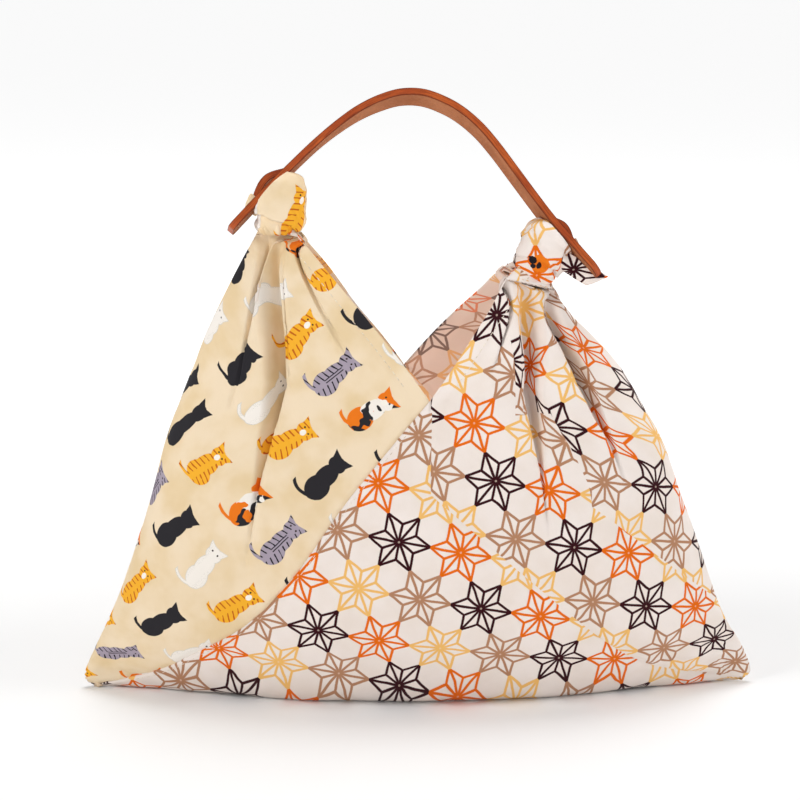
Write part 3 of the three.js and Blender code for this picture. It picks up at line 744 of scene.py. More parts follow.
# Creases in a knot: from place, height to place, height (front only), then depth, half width.
KNOT_CREASES = dict(
    left=[(-0.9, -0.05, -0.25, 0.06, 0.8, 0.06), (-0.8, -0.2, -0.35, -0.08, 0.6, 0.05),
          (-0.2, 0.55, 0.3, 0.2, 0.4, 0.10), (0.35, -0.1, 0.75, -0.55, 0.5, 0.08),
          (-0.5, 0.3, 0.1, 0.75, 0.35, 0.10)],
    right=[(-0.9, 0.15, -0.3, 0.42, 0.7, 0.07), (-0.6, -0.15, 0.1, -0.05, 0.5, 0.06),
           (0.55, 0.35, 0.62, -0.5, 1.0, 0.06), (0.78, 0.3, 0.8, -0.6, 0.8, 0.05),
           (0.66, 0.1, 0.74, -0.8, 0.6, 0.04), (-0.3, 0.7, 0.3, 0.45, 0.4, 0.10)],
)
# How a lap's edge falls off above and below its line: share of its height, and how far it reaches.
LAP_ABOVE, LAP_BELOW = (0.5, 0.5), (0.6, 0.28)
# Wrinkles round a knot: how many, turns round it, rises up it, and their height.
WRINKLES = dict(seed=dict(left=5, right=6), count=18, turns=(1, 5), rises=(2, 11), height=0.075)
GATHERS = ((0.85, 11, 0.6, 0), (0.4, 17, 0, 1.3))     # a collar's folds: height, turns, lean, start
ROUND, RISE, COLLAR_RISE = 112, 72, 20      # points round a knot, up its lump and up its collar


def powered(value, power):
    """A number's power, with the number's own sign."""
    return np.sign(value) * np.abs(value) ** power


def chart_turned(u, v, chart):
    """A chart's coordinates, turned by its angle and moved to its place on the print."""
    c, s = math.cos(math.radians(chart["turn"])), math.sin(math.radians(chart["turn"]))
    return np.stack([u * c - v * s + chart["u"], u * s + v * c + chart["v"], 0 * u + 50], -1)


def turned(points, degrees):
    """Points turned about the Y axis through the origin."""
    c, s = math.cos(math.radians(degrees)), math.sin(math.radians(degrees))
    x, y, z = points[..., 0], points[..., 1], points[..., 2]
    return np.stack([x * c + z * s, y, -x * s + z * c], -1)


def below_strap(points, name):
    """Presses points down so that they stay clear of the strap's underside."""
    slit = SLITS[name]
    for along in np.arange(slit["start"] - PRESS["before"], slit["end"] + PRESS["after"], PRESS["step"]):
        base = strap_point(along, 0, -STRAP["thick"] - CLEAR)
        out = unit(strap_point(along, 0, 1) - strap_point(along, 0, 0))
        way = unit(strap_point(along + 1, 0, 0) - strap_point(along - 1, 0, 0))
        near = np.abs((points - base) @ way) < PRESS["half"]
        over = np.maximum((points - base) @ out, 0) * near
        points = points - out * over[..., None]
    return points


def knot_points(name):
    """A knot's surface: a full-cornered lump with laps, creases and wrinkles round it."""
    knot = KNOTS[name]
    half = np.array(knot["half"]) - LUMP_INSET
    theta = circle(ROUND)[None, :]
    phi = np.linspace(-math.pi / 2, math.pi / 2, RISE)[:, None]
    height = powered(np.sin(phi), SQUARE) * np.ones_like(theta)
    ring = powered(np.cos(phi), SQUARE).clip(0)
    x, y = ring * powered(np.cos(theta), SQUARE), ring * powered(np.sin(theta), SQUARE)
    base = np.stack([x, y, height], -1)
    out = unit(base / half)
    place = np.cos(theta) * np.ones_like(phi)
    behind = ease(-0.3, 0.3, np.sin(theta)) * np.ones_like(phi)
    push = np.zeros(height.shape)
    for left, right, back, proud in LAPS[name]:
        line = (left + (right - left) * (place + 1) / 2) * (1 - behind) + back * behind
        line = line + 0.05 * np.sin(theta * 3 + 1)
        over = height - line
        push += proud * np.where(over > 0, LAP_ABOVE[0] * np.exp(-over / LAP_ABOVE[1]),
                                 -LAP_BELOW[0] * np.exp(over / LAP_BELOW[1]))
    for *line, depth, wide in KNOT_CREASES[name]:
        gap, _ = line_gap(place, height, line)
        push -= depth * bump(gap / wide) * (1 - behind)
    waves = np.random.default_rng(WRINKLES["seed"][name])
    for _ in range(WRINKLES["count"]):
        turns, rises = waves.integers(*WRINKLES["turns"]), waves.uniform(*WRINKLES["rises"])
        wave = np.sin(turns * theta + rises * height * 1.6 + waves.uniform(0, 6.28))
        push += WRINKLES["height"] * wave
    points = base * half + out * push[..., None]
    return turned(points, knot["tip"]) + knot["middle"]


def collar_points(name):
    """The short gathered ring where the pleats go into the knot."""
    collar = KNOTS[name]["collar"]
    theta = circle(ROUND)[None, :]
    height = np.linspace(-1, 1, COLLAR_RISE)[:, None]
    ring = np.sqrt(1 - 0.55 * height**2)
    folds = sum(high * np.sin(turns * theta + lean * height + start) for high, turns, lean, start in GATHERS)
    x = (collar["half"][0] * ring + folds) * np.cos(theta)
    y = (collar["half"][1] * ring + folds) * np.sin(theta)
    points = np.stack([x, y, collar["half"][2] * height * np.ones_like(theta)], -1)
    return points + collar["middle"]


def loop_points(name):
    """The tail's loop over the handle's rear strand, a closed band bunched a little."""
    slit, (start, end) = SLITS[name], KNOTS[name]["loop"]
    ring, section = np.meshgrid(*map(circle, LOOP_NET), indexing="ij")
    middle_across = (STRAP["slit"] + STRAP["width"]) / 4
    reach_across = (STRAP["width"] - STRAP["slit"]) / 4 + CLEAR + LOOP_CLOTH / 2
    reach_out = STRAP["thick"] / 2 + CLEAR + LOOP_CLOTH / 2
    along = (start + end) / 2 + (end - start) / 2 * powered(np.cos(section), 0.7)
    grow = LOOP_CLOTH / 2 * powered(np.sin(section), 0.7) + 0.15 * np.sin(5 * ring + 3 * section)
    across = middle_across + (reach_across + grow) * powered(np.cos(ring), 0.5)
    out = bow_at(slit, along) - STRAP["thick"] / 2 + (reach_out + grow) * powered(np.sin(ring), 0.5)
    return strap_point(along, across, out).reshape(-1, 3)


def knot_piece(name, title, materials):
    """A knot, its collar and its loop as one piece, with the print turned as the cloth is."""
    lump = below_strap(knot_points(name) + [CENTRE_SHIFT, 0, 0], name)
    collar, loop = collar_points(name) + [CENTRE_SHIFT, 0, 0], loop_points(name)
    count, around = LOOP_NET
    ring = grid_faces(count, around, closed=True)
    last = (count - 1) * around
    ring += [(last + k, last + (k + 1) % around, (k + 1) % around, k) for k in range(around)]
    points, faces = joined([(lump.reshape(-1, 3), grid_faces(RISE, ROUND, closed=True)),
                            (collar.reshape(-1, 3), grid_faces(COLLAR_RISE, ROUND, closed=True)),
                            (loop, ring)])
    # print: distance round the front and up the knot, turned and set by the chart
    half = KNOTS[name]["half"]
    local = turned(points - KNOTS[name]["middle"] - [CENTRE_SHIFT, 0, 0], -KNOTS[name]["tip"])
    round_way = np.arctan2(local[:, 0], -local[:, 1]) * (half[0] + half[1]) / 2
    values = chart_turned(round_way, local[:, 2], KNOT_CHARTS[name])
    knot_values = chart_turned(round_way, local[:, 2], dict(turn=0, u=0, v=0))
    piece = make_piece(title, points, faces, materials,
                       dict(print_tail=values, print_body=knot_values))
    weld = piece.modifiers.new("weld", "WELD")
    weld.merge_threshold = 0.01 * MM
    settle(piece)
    bpy.ops.object.mode_set(mode="EDIT")
    bpy.ops.mesh.select_all(action="SELECT")
    bpy.ops.mesh.normals_make_consistent(inside=False)
    bpy.ops.object.mode_set(mode="OBJECT")
    return piece


# Its root and its end at x, z; half its width there; its slant there in degrees.
TAIL_TIP = dict(root=(57.5, 190.3), end=(74.3, 180.1), half=(3.4, 5.1), slant=(57, 22), y=-7.3,
                thick=1.75, long=22, chart=dict(turn=-35, u=22.2, v=139.5))
TIP_NET = (30, 44)                    # points along the tip, and round it
# How the print lies on each knot: turned by degrees, and moved to a place on the print.
KNOT_CHARTS = dict(left=dict(turn=-37, u=15.1, v=81.6), right=dict(turn=-9, u=-46.8, v=156.5))


def tail_tip_piece(materials):
    """The right tail's loose end: a flat fold of cloth, open at its slanted mouth."""
    tip, (stations, around) = TAIL_TIP, TIP_NET
    f = np.linspace(0, 1, stations)[:, None]
    angles = circle(around)[None, :]
    slant = np.radians(np.interp(f, (0, 1), tip["slant"]))
    half = np.interp(f**0.8, (0, 1), tip["half"])
    gape = tip["thick"] * (0.95 - 0.25 * np.sin(f * 3.1)) * np.where(f < 0.9, 1, 1.05)
    across = np.cos(angles) * half
    wave = 0.3 * np.sin(f * 9 + across * 0.9) + 0.6 * f
    thick = np.sin(angles) * (gape * (1 - 0.45 * np.cos(angles)) + wave)
    x, z = (np.interp(f, (0, 1), ends) for ends in zip(tip["root"], tip["end"]))
    x, z = x + np.cos(slant) * across + CENTRE_SHIFT, z + np.sin(slant) * across
    places = below_strap(np.stack([x, tip["y"] + thick, z], -1).reshape(-1, 3), "right")
    rows = chart_turned(f * tip["long"] + 0 * across, across, tip["chart"]).reshape(-1, 3)
    faces = [face[::-1] for face in grid_faces(stations, around, closed=True)]
    piece = make_piece("star_tail_tip", places, faces, materials, dict(print_tail=rows, print_body=rows))
    solid = piece.modifiers.new("layer", "SOLIDIFY")
    solid.thickness, solid.offset, solid.material_offset = CLOTH * MM, -1, 1
    settle(piece)
    return piece


# ---- materials ----
class Term:
    """A number worked out by a material's nodes, with the usual arithmetic."""

    def __init__(self, tree, socket):
        self.tree, self.socket = tree, socket

    def do(self, operation, *others):
        return math_term(self.tree, operation, self, *others)

    def __add__(self, other):
        return self.do("ADD", other)

    def __sub__(self, other):
        return self.do("SUBTRACT", other)

    def __rsub__(self, other):
        return math_term(self.tree, "SUBTRACT", other, self)

    def __mul__(self, other):
        return self.do("MULTIPLY", other)

    def __truediv__(self, other):
        return self.do("DIVIDE", other)

    def __abs__(self):
        return self.do("ABSOLUTE")

    __radd__ = __add__
    __rmul__ = __mul__


def feed(tree, socket, value):
    """Gives a socket what a node works out, or a number or colour of its own."""
    if isinstance(value, Term):
        value = value.socket
    if isinstance(value, bpy.types.NodeSocket):
        tree.links.new(value, socket)
    else:
        socket.default_value = colour(value) if isinstance(value, str) else value


def math_term(tree, operation, *values):
    node = tree.nodes.new("ShaderNodeMath")
    node.operation = operation
    for socket, value in zip(node.inputs, values):
        feed(tree, socket, value)
    return Term(tree, node.outputs[0])


def least(first, *others):
    return reduce(lambda result, term: result.do("MINIMUM", term), others, first)


def most(first, *others):
    return reduce(lambda result, term: result.do("MAXIMUM", term), others, first)


def colour(text):
    """A linear colour from its usual hexadecimal form."""
    channels = [int(text[i:i + 2], 16) / 255 for i in (0, 2, 4)]
    return (*[c / 12.92 if c <= 0.04045 else ((c + 0.055) / 1.055) ** 2.4 for c in channels], 1)


class Surface:
    """A material with one Principled shader and short ways to make what feeds it."""

    def __init__(self, name, rough, **constants):
        self.material = bpy.data.materials.new(name)
        self.material.use_nodes = True
        self.tree = self.material.node_tree
        self.shader = self.tree.nodes["Principled BSDF"]
        self.shader.inputs["Roughness"].default_value = rough
        for key, value in constants.items():
            self.shader.inputs[key.replace("_", " ")].default_value = value

    def node(self, kind, **inputs):
        """A new node of a kind, with its named inputs fed."""
        node = self.tree.nodes.new(f"ShaderNode{kind}")
        for name, value in inputs.items():
            feed(self.tree, node.inputs[name], value)
        return node

    def attribute(self, name):
        node = self.node("Attribute")
        node.attribute_name = name
        split = self.node("SeparateXYZ", Vector=node.outputs["Vector"])
        return [Term(self.tree, socket) for socket in split.outputs]

    def point(self, x, y):
        return self.node("CombineXYZ", X=x, Y=y).outputs[0]

    def place(self):
        return self.node("NewGeometry").outputs["Position"]

    def noise(self, vector, scale, detail=2.0, stretch=None):
        if stretch:
            node = self.node("VectorMath")
            node.operation = "MULTIPLY"
            for socket, value in zip(node.inputs, (vector, stretch)):
                feed(self.tree, socket, value)
            vector = node.outputs[0]
        node = self.node("TexNoise", Scale=scale, Detail=detail, Vector=vector)
        return Term(self.tree, node.outputs["Fac"])

    def mix(self, factor, low, high, blend="MIX"):
        """The colour `low`, or `high` where the factor is 1."""
        node = self.node("Mix")
        node.data_type, node.blend_type = "RGBA", blend
        for socket, value in zip((s for s in node.inputs if s.enabled), (factor, low, high)):
            feed(self.tree, socket, value)
        return next(s for s in node.outputs if s.enabled)

    def clouded(self, vector, scale, detail, limits, shades):
        """One of two colours passing softly into the other, in patches."""
        return self.mix(smooth_step(self.noise(vector, scale, detail), *limits), *shades)

    def finish(self, base, height, strength, distance):
        """The whole material, from its colour, and its bump's height, strength and depth."""
        bump = self.node("Bump", Strength=strength, Distance=distance, Height=height)
        feed(self.tree, self.shader.inputs["Base Color"], base)
        feed(self.tree, self.shader.inputs["Normal"], bump.outputs[0])
        return self.material


def smooth_step(term, low, high):
    f = ((term - low) / (high - low)).do("MINIMUM", 1).do("MAXIMUM", 0)
    return f * f * (3 - 2 * f)


def faded(term, low, high):
    return 1 - smooth_step(term, low, high)


def whole_number(term):
    return (term + 0.5).do("FLOOR")


def modulo(term, size):
    return term - size * ((term + 0.001) / size).do("FLOOR")


# ---- the star print: six-pointed stars, tips touching, in four inks ----
STAR_LINE = 1.12                      # width of the ink line
STAR_BLOT = (0.045, 0.075)            # the blot of ink at a star's middle, in units of the spacing
STAR_HOLE = (0.012, 0.022)            # and the lighter spot in it
STAR_INKS = ("330610", "e76a06", "f3bd6c", "b48363")   # in their order along a row
STAR_GROUND = ("f4e9e2", "efe2d8")
STAR_SIDE, STAR_TURN = 26.05, -10.25   # between stars along a row, and the rows' slant in degrees
STAR_BODY = dict(u=14.8, v=103.4)     # where a star of the second ink lies on the middle square
STAR_TAIL = dict(u=20.4, v=157.4)     # and on the tail's square
# On the middle square the print is moved a little where folds have taken it: round one level, and
# near the bottom fold.
BODY_DROP = dict(v=50, half=14, drop=4.5)
BODY_RISE = dict(v=(15, 42), rise=10)
# Past this line on the tail the print has been let in again, a little higher.
LET_IN = dict(top_v=160.0, top_u=38.0, side_u=72.0, u=75.0, v=118.0, slope=0.75,
              shift_u=-1.0, shift_v=6.3)


def star_repeat(u, v):
    """Offset from the nearest star in units of the spacing, and that star's ink number."""
    turn = math.radians(STAR_TURN)
    c, s = math.cos(turn) / STAR_SIDE, math.sin(turn) / STAR_SIDE
    x, y = u * c + v * s, v * c - u * s
    row = math.sqrt(3)
    ax, ay = whole_number(x), whole_number(y / row) * row
    bx, by = whole_number(x - 0.5) + 0.5, whole_number(y / row - 0.5) * row + row / 2
    gap_a = (x - ax) * (x - ax) + (y - ay) * (y - ay)
    gap_b = (x - bx) * (x - bx) + (y - by) * (y - by)
    first = gap_a.do("LESS_THAN", gap_b)
    cx, cy = bx + (ax - bx) * first, by + (ay - by) * first
    ink = cx + cy * (1.5 / (row / 2)) + 1
    return x - cx, y - cy, modulo(whole_number(ink), 4)


def star_lines(x, y):
    """Distance from the nearest printed line, in units of the spacing."""
    sixth = math.pi / 3
    angle = y.do("ARCTAN2", x) + sixth / 2 + 2 * math.pi
    sector = abs(modulo(angle, sixth) - sixth / 2)
    radius = (x * x + y * y).do("SQRT")
    along, away = radius * sector.do("COSINE"), radius * sector.do("SINE")
    rim = (along - 0.5) * 0.5 + away * math.cos(math.pi / 6)
    spoke = least(away, abs(along * 0.5 - away * math.cos(math.pi / 6)))
    return least(abs(rim), most(spoke, rim)), radius


def star_print(surface):
    """The printed colour from the two charts of the cloth, and the tail's chart."""
    tail_u, tail_v, upper = surface.attribute("print_tail")
    body_u, body_v, _ = surface.attribute("print_body")
    on_tail = upper.do("GREATER_THAN", 0)
    gap = (body_v - BODY_DROP["v"]) / BODY_DROP["half"]
    body_v = body_v - BODY_DROP["drop"] * (gap * gap * -1).do("EXPONENT")
    body_v = body_v + BODY_RISE["rise"] * faded(body_v, *BODY_RISE["v"])
    let = LET_IN
    beyond = most(least(tail_v - let["top_v"], tail_u - let["top_u"]),
                  least(tail_u - let["side_u"],
                        tail_v - let["v"] + let["slope"] * (tail_u - let["u"]))).do("GREATER_THAN", 0)
    beyond = beyond * on_tail
    where = surface.point(tail_u, tail_v)
    wobble = surface.noise(where, 0.11, 1.0) - 0.5
    layouts = []
    for name, low, high in (("u", body_u, tail_u), ("v", body_v, tail_v)):
        low, high = low - STAR_BODY[name], high - STAR_TAIL[name] - beyond * let[f"shift_{name}"]
        layouts.append(low + (high - low) * on_tail + wobble * 0.9)
    x, y, ink = star_repeat(*layouts)
    ink = modulo(ink + beyond, 4)
    line, radius = star_lines(x, y)
    spot = surface.noise(where, 2.2, 3.0) - 0.5
    half = STAR_LINE / 2 / STAR_SIDE * (1 + spot * 0.5)
    printed = most(faded(line - half, -0.006, 0.006), faded(radius, *STAR_BLOT))
    inks = STAR_INKS[0]
    for number, shade in enumerate(STAR_INKS[1:]):
        inks = surface.mix(ink.do("GREATER_THAN", number + 0.5), inks, shade)
    inks = surface.mix(faded(radius, *STAR_HOLE) * 0.45, inks, "f2d9c4")
    ground = surface.clouded(where, 0.05, 3.0, (0.35, 0.7), STAR_GROUND)
    strength = printed * (1.02 + spot * 0.3)
    return surface.mix(strength.do("MINIMUM", 1), ground, inks), (tail_u, tail_v)


# ---- the cat print: plain cats leaning up to the right, five coats, a charted repeat ----
CAT_ORIGIN = (-87.0, 179.0)
CAT_STEPS = ((15.0, -15.0), (-19.0, -28.0))
COATS = "BWGTC"                       # black, white, ginger, tabby, calico
CAT_CHART = ("BWGBW", "BGCTB", "TBWGC", "CGBWT", "WGTCB")       # coat by column, for each row
PLEAT_SLACK = dict(cloth=17.0, u=(-82.0, -66.0), v=(112.0, 148.0))
CAT_GROUND = ("f3debf", "e9cfa4")
# One cat, lying along +X in its own cell: ellipses by middle and half size, its ear's corners, and
# its tail, which is part of a ring.
CAT = dict(
    lean=38, sway=0.17, middle=0.5,
    back=((-4.9, -0.6), (5.8, 5.0)), chest=((1.0, 0.1), (6.4, 4.0)), head=((7.9, 0.5), (3.4, 3.9)),
    muzzle=((7.0, 0.5), (1.5, 1.2)), eye=((8.8, 1.5), (0.42, 0.42)),
    ear=((11.2, 0.6), (12.4, 4.9), (7.8, 3.2)),
    tail=dict(middle=(-3.8, 4.0), radius=7.3, half=0.72, x=-7.6, y=8.6),
)
BLACK, WHITE, GINGER, GREY, ORANGE = "2b292d", "f6efe6", "f7b331", "a99dab", "ee7a1d"


def ellipse(x, y, middle, half):
    dx, dy = (x - middle[0]) / half[0], (y - middle[1]) / half[1]
    return ((dx * dx + dy * dy).do("SQRT") - 1) * min(half)


def beyond_line(x, y, start, end):
    """Distance past the line from start to end, on its right."""
    way = unit(np.array(end, float) - np.array(start, float))
    return (x - start[0]) * float(way[1]) - (y - start[1]) * float(way[0])


def cat_cell(u, v):
    """Place in the nearest cat's cell, and the cell's column and row."""
    (a, b), (c, d) = CAT_STEPS
    size = a * d - b * c
    du, dv = u - CAT_ORIGIN[0], v - CAT_ORIGIN[1]
    column = whole_number((du * d - dv * c) / size)
    row = whole_number((dv * a - du * b) / size)
    return du - column * a - row * c, dv - column * b - row * d, column, row


def coat_number(column, row):
    codes = [sum(COATS.index(letter) * 5**k for k, letter in enumerate(line)) for line in CAT_CHART]
    line = modulo(row, len(codes))
    code = codes[0]
    for k in range(1, len(codes)):
        code = line.do("GREATER_THAN", k - 0.5) * (codes[k] - codes[k - 1]) + code
    digit = math_term(column.tree, "POWER", 5, modulo(column, 5))
    return modulo((code / digit + 0.0005).do("FLOOR"), 5)


def cat_print(surface):
    """The printed colour from the cloth's chart, and the chart."""
    u, v, _ = surface.attribute("print_tail")
    where = surface.point(u, v)
    wobble = surface.noise(where, 0.35, 1.0) - 0.5
    # the deep pleat has taken up cloth between the cats on its two sides
    slack = smooth_step(v, *PLEAT_SLACK["v"]) * faded(u, *PLEAT_SLACK["u"])
    slack = slack * PLEAT_SLACK["cloth"]
    dx, dy, column, row = cat_cell(u + slack, v)
    coat = coat_number(column, row)
    tilt = math.radians(CAT["lean"]) + CAT["sway"] * (column * 2.3 + row * 1.7).do("SINE")
    c, s = tilt.do("COSINE"), tilt.do("SINE")
    x, y = dx * c + dy * s + wobble * 0.5, dy * c - dx * s + wobble * 0.4
    side = abs(y - CAT["middle"])
    ear = most(*(beyond_line(x, side, start, end)
                 for start, end in zip(CAT["ear"], CAT["ear"][1:] + CAT["ear"][:1])))
    curl = CAT["tail"]
    from_x, from_y = x - curl["middle"][0], y - curl["middle"][1]
    ring = abs((from_x * from_x + from_y * from_y).do("SQRT") - curl["radius"]) - curl["half"]
    tail = most(ring, x - curl["x"], y - curl["y"])
    shape = least(*(ellipse(x, y, *CAT[part]) for part in ("back", "chest", "head")), ear, tail)
    inside = faded(shape, -0.12, 0.12)
    is_coat = [faded(abs(coat - k), 0.4, 0.5) for k in range(5)]

    # its coat: one plain colour, or three in patches
    base = BLACK
    for number, shade in enumerate((WHITE, GINGER, GREY), 1):
        base = surface.mix(is_coat[number], base, shade)
    patch = surface.noise(where, 0.22, 1.0)
    calico = surface.mix(smooth_step(x * 0.06 + patch, 0.40, 0.42), ORANGE, WHITE)
    calico = surface.mix(smooth_step(patch - y * 0.03, 0.56, 0.58), calico, BLACK)
    calico = surface.mix(smooth_step(x + y * 0.8, 8.3, 8.5), calico, ORANGE)
    base = surface.mix(is_coat[4], base, calico)

    # bands on the ginger and the tabby, and flecks on the white
    bands = (x * (2 * math.pi / 2.5) + abs(y) * 0.75).do("SINE")
    off_belly = smooth_step(abs(y + 0.4), 0.9, 1.3)
    striped = smooth_step(bands + wobble, 0.62, 0.78) * off_belly
    spine = faded(abs(abs(y) - 0.55), 0.16, 0.3) * faded(abs(x), 4.5, 5.0)
    base = surface.mix(striped * is_coat[2], base, "c4601c")
    base = surface.mix(most(striped, spine) * is_coat[3], base, "2e2a31")
    flecks = smooth_step(surface.noise(where, 3.4, 1.0), 0.62, 0.68) * smooth_step(abs(y), 1.6, 2.6)
    base = surface.mix(flecks * is_coat[1] * 0.6, base, "8f8883")
    # its face, and the pale outline of a white one
    muzzle = faded(ellipse(x, y, *CAT["muzzle"]), -0.1, 0.1)
    base = surface.mix(muzzle * most(is_coat[2], is_coat[4]), base, "fbf4e8")
    eyes = faded(ellipse(x, side, *CAT["eye"]), -0.1, 0.1)
    base = surface.mix(eyes * (1 - is_coat[0]), base, "3a2a24")
    outline = faded(abs(shape + 0.1), 0.05, 0.3) * is_coat[1]
    base = surface.mix(outline * 0.35, base, "a59c94")
    ground = surface.clouded(where, 0.05, 3.0, (0.35, 0.7), CAT_GROUND)
    return surface.mix(inside, ground, base), (u, v)


# ---- the materials ----
THREAD = 0.52                         # pitch of the weave's threads
# The orange scrap in the right knot, and its black spots: middle and half size on the knot's front.
SCRAP = ((-0.4, -4.6), (4.4, 3.7))
SCRAP_SPOTS = (((-4.2, -4.4), (1.9, 1.6)), ((-0.6, -5.6), (1.1, 1.4)), ((-3.0, -6.6), (1.3, 1.0)))


def scrap(surface, base):
    """An orange scrap with black spots, caught in the front of the right knot."""
    x, z, _ = surface.attribute("print_body")
    ragged = surface.noise(surface.point(x, z), 0.5, 2.0) - 0.5
    patch = faded(ellipse(x, z, *SCRAP) + ragged * 2.4, -0.1, 0.1)
    spots = least(*(ellipse(x, z, *spot) for spot in SCRAP_SPOTS))
    spots = faded(spots + ragged * 1.2, -0.1, 0.1)
    return surface.mix(spots, surface.mix(patch, base, "ee7c1c"), "231f24")


def cloth_material(name, pattern, muted, knotted=False):
    """Printed cotton; the muted kind is the cloth's wrong side, where the print shows faintly."""
    surface = Surface(name, 0.88, Sheen_Weight=0.03, Sheen_Roughness=0.5, Specular_IOR_Level=0.12)
    printed, (u, v) = pattern(surface)
    if knotted:
        printed = scrap(surface, printed)
    ways = [(term * (2 * math.pi / THREAD)).do("SINE") for term in (u, v)]
    weave = ways[0] * ways[1]
    slub = surface.noise(surface.point(u, v * 0.18), 3.0, 2.0)
    # painted shade: the colour is darkened towards 0.93 where the weave and the slubs lie low in the bump
    shade = surface.mix(0.5 + weave * 0.22 + (slub - 0.5) * 0.5, (0.93, 0.93, 0.93, 1), (1, 1, 1, 1))
    base = surface.mix(1.0, printed, shade, "MULTIPLY")
    if muted:
        base = surface.mix(0.3, base, "e8cfc0")
    puckers = surface.noise(surface.place(), 120, 3.0)
    height = weave * 0.35 + slub * 0.5 + puckers * 1.6
    return surface.finish(base, height, 0.35, 0.00025)


# Each face of the leather: roughness, gloss, its two tones, and its dark marks' colour and place.
LEATHER = dict(
    grain=dict(rough=0.42, shine=0.35, tones=("a8481a", "c2602a"), marks="7c3010", across=(6.4, 7.7)),
    flesh=dict(rough=0.8, shine=0.1, tones=("a1633f", "b57650"), marks="7a3a18", across=(6.9, 7.6),
               fibres="7d4a2c"),
    edge=dict(rough=0.45, shine=0.25, tones=("a3441a", "c05c24"), marks="571f08",
              above=(-0.55, -0.2), below=(-2.95, -2.6), streaks="702a0c"),
)


def leather_material(kind):
    """Vegetable-tanned leather: grain above, flesh below, burnished layers at the edges."""
    look = LEATHER[kind]
    surface = Surface(f"leather_{kind}", look["rough"], Specular_IOR_Level=look["shine"])
    along, across, rise = surface.attribute("strap")
    base = surface.clouded(surface.place(), 55, 4.0, (0.3, 0.7), look["tones"])
    if kind == "grain":
        pores = surface.noise(surface.place(), 900, 3.0)
        base = surface.mix(smooth_step(abs(across), *look["across"]) * 0.6, base, look["marks"])
        return surface.finish(base, pores, 0.5, 0.00012)
    if kind == "flesh":
        fibres = surface.noise(surface.point(along, across), 1.6, 5.0, stretch=(0.35, 2.2, 1))
        base = surface.mix(smooth_step(fibres, 0.45, 0.7) * 0.5, base, look["fibres"])
        base = surface.mix(smooth_step(abs(across), *look["across"]) * 0.7, base, look["marks"])
        return surface.finish(base, fibres, 0.6, 0.0003)
    # the cut edge, burnished in layers: streaks run along it and its two rims are dark
    across_edge = rise - surface.noise(surface.point(along, 0.0), 0.4, 1.0) * 0.25
    streaks = surface.noise(surface.point(along, rise), 0.9, 5.0, stretch=(0.12, 3.4, 1))
    base = surface.mix(smooth_step(streaks, 0.45, 0.62) * 0.6, base, look["streaks"])
    rims = most(smooth_step(across_edge, *look["above"]), faded(across_edge, *look["below"]))
    base = surface.mix(rims * 0.75, base, look["marks"])
    return surface.finish(base, streaks, 0.5, 0.0002)


def thread_material(name, shade):
    surface = Surface(name, 0.6, Sheen_Weight=0.2)
    twist = surface.noise(surface.place(), 1500, 2.0)
    base = surface.mix(smooth_step(twist, 0.35, 0.65), shade, "cdbba6")
    return surface.finish(base, twist, 0.4, 0.0001)


# ---- putting it together ----
cat_outside = cloth_material("cat_print_cotton", cat_print, False)
cat_inside = cloth_material("cat_print_cotton_wrong_side", cat_print, True)
star_outside = cloth_material("star_print_cotton", star_print, False)
star_inside = cloth_material("star_print_cotton_wrong_side", star_print, True)
star_knotted = cloth_material("star_print_cotton_knotted", star_print, False, knotted=True)
leather = [leather_material(kind) for kind in LEATHER]
thread = thread_material("cotton_thread", "f4ead9")

left, right = Net("left"), Net("right")
for net in (left, right):
    dress(net)
join_nets(left, right)

under_star = -SEAM_STEP * ease(-1.5, 1.0, left.seam) - SEAM_GAP
over_cat = SEAM_RISE * fade(0, 3.5, left.seam)
star_cloth = cloth_piece("star_cloth_sheet", [
    (left, quads(left, star_part), over_cat),
    (right, quads(right, lambda row, inner: "whole"), np.zeros_like(right.u)),
], [star_outside, star_inside])
cat_cloth = cloth_piece("cat_cloth_sheet", [(left, quads(left, cat_part), under_star)],
                        [cat_outside, cat_inside])
strap = handle_piece(leather)
cat_knot = knot_piece("left", "cat_knot", [cat_outside])
star_knot = knot_piece("right", "star_knot", [star_knotted])
tail_tip = tail_tip_piece([star_outside, star_inside])
stitches = stitch_piece("hem_stitches", [
    *(line_at_gap(net, front, HEM_STITCHES) for net in (left, right) for front in (True, False)),
    *(line_at_seam(left, front, SEAM_STITCHES) for front in (True, False)),
], thread)

for piece in (star_cloth, cat_cloth, strap, cat_knot, star_knot, tail_tip, stitches):
    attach(piece, "root")
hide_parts("star_cloth")
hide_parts("cat_cloth")
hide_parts("handle")

# ---- floor, light and camera ----
# painted light: the floor's glow, from none near the bag to its full strength far away
GLOW = dict(near=0.2, far=1.4, strength=0.6)
FLOOR = 30000.0                       # from its middle to its edges
BAG_MIDDLE = (0, 0, 0.12)
LIGHTS = (                            # name, place, width of its disc, watts
    ("left_softbox", (-1.35, -0.75, 0.95), 0.7, 10.5),
    ("right_softbox", (1.4, -0.45, 0.8), 0.7, 7),
    ("top_softbox", (0.1, 0.4, 1.5), 0.8, 11),
    ("front_fill", (0.1, -1.9, 0.45), 0.8, 4),
)
AMBIENT = 0.38
CAMERA = dict(azimuth=-3, elevation=11, roll=0.45, distance=1.0, lens=104.67,
              height=0.1295, aside=0.0086, down=0.0022)


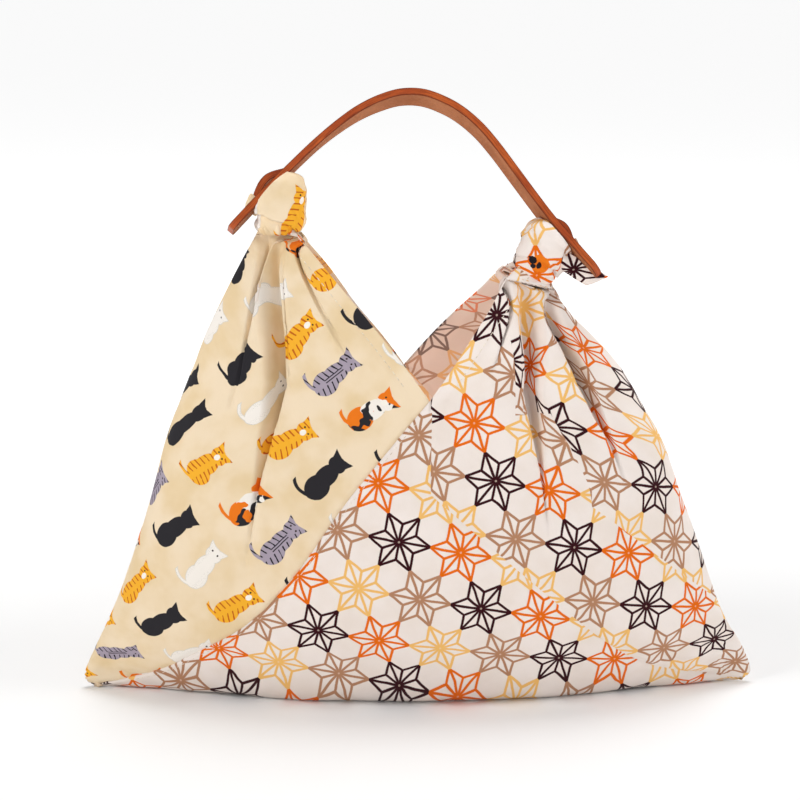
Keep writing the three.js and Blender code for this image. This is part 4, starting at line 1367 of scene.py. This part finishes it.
def add_floor():
    surface = Surface("floor_white", 0.9, Specular_IOR_Level=0.1, Emission_Color=(1, 1, 1, 1),
                      Base_Color=(0.93, 0.93, 0.93, 1))
    # away from the bag the floor glows a little: painted light that lifts the far floor to white, where a
    # studio sweep would be lit by its lamps
    away = surface.node("VectorMath")
    away.operation = "LENGTH"
    feed(surface.tree, away.inputs[0], surface.place())
    glow = surface.node("MapRange", Value=away.outputs["Value"],
                        **{"From Min": GLOW["near"], "From Max": GLOW["far"], "To Max": GLOW["strength"]})
    feed(surface.tree, surface.shader.inputs["Emission Strength"], glow.outputs["Result"])
    corners = [(x * FLOOR, y * FLOOR, 0) for x, y in ((-1, -1), (1, -1), (1, 1), (-1, 1))]
    make_piece("floor", corners, [(0, 1, 2, 3)], [surface.material], smooth=False)


def add_light(name, place, size, power, aim):
    data = bpy.data.lights.new(name, "AREA")
    data.shape, data.size, data.energy = "DISK", size, power
    lamp = bpy.data.objects.new(name, data)
    lamp.location = place
    lamp.rotation_mode = "QUATERNION"
    lamp.rotation_quaternion = (Vector(aim) - Vector(place)).to_track_quat("-Z", "Y")
    bpy.context.scene.collection.objects.link(lamp)
    return lamp


def add_camera():
    """The bag stands a little right of the picture's middle, and a little above it."""
    azimuth, elevation, roll = (math.radians(CAMERA[key]) for key in ("azimuth", "elevation", "roll"))
    back = Vector((math.sin(azimuth) * math.cos(elevation), -math.cos(azimuth) * math.cos(elevation),
                   math.sin(elevation)))
    right_way = Vector((math.cos(azimuth), math.sin(azimuth), 0))
    up_way = back.cross(right_way)
    target = Vector((CENTRE_SHIFT * MM, 0, CAMERA["height"]))
    target -= right_way * CAMERA["aside"] + up_way * CAMERA["down"]
    data = bpy.data.cameras.new("camera")
    data.lens, data.sensor_width = CAMERA["lens"], 36
    camera = bpy.data.objects.new("camera", data)
    camera.location = target + back * CAMERA["distance"]
    camera.rotation_mode = "QUATERNION"
    camera.rotation_quaternion = (-back).to_track_quat("-Z", "Y") @ Quaternion((0, 0, 1), roll)
    bpy.context.scene.collection.objects.link(camera)
    bpy.context.scene.camera = camera


add_floor()
world = bpy.data.worlds.new("studio")
world.use_nodes = True
background = world.node_tree.nodes["Background"]
background.inputs["Color"].default_value = (1, 1, 1, 1)
background.inputs["Strength"].default_value = AMBIENT
bpy.context.scene.world = world
for light in LIGHTS:
    add_light(*light, aim=BAG_MIDDLE)
# stands for the daylight that comes through the thin cotton into the bag
through = add_light("light_through_cloth", (0, -0.004, 0.05), 0.08, 0.06, aim=(0, 0.005, 0.3))
through.data.color = (1, 0.9, 0.84)
through.visible_camera = False
add_camera()
bpy.context.scene.view_settings.view_transform = "Standard"
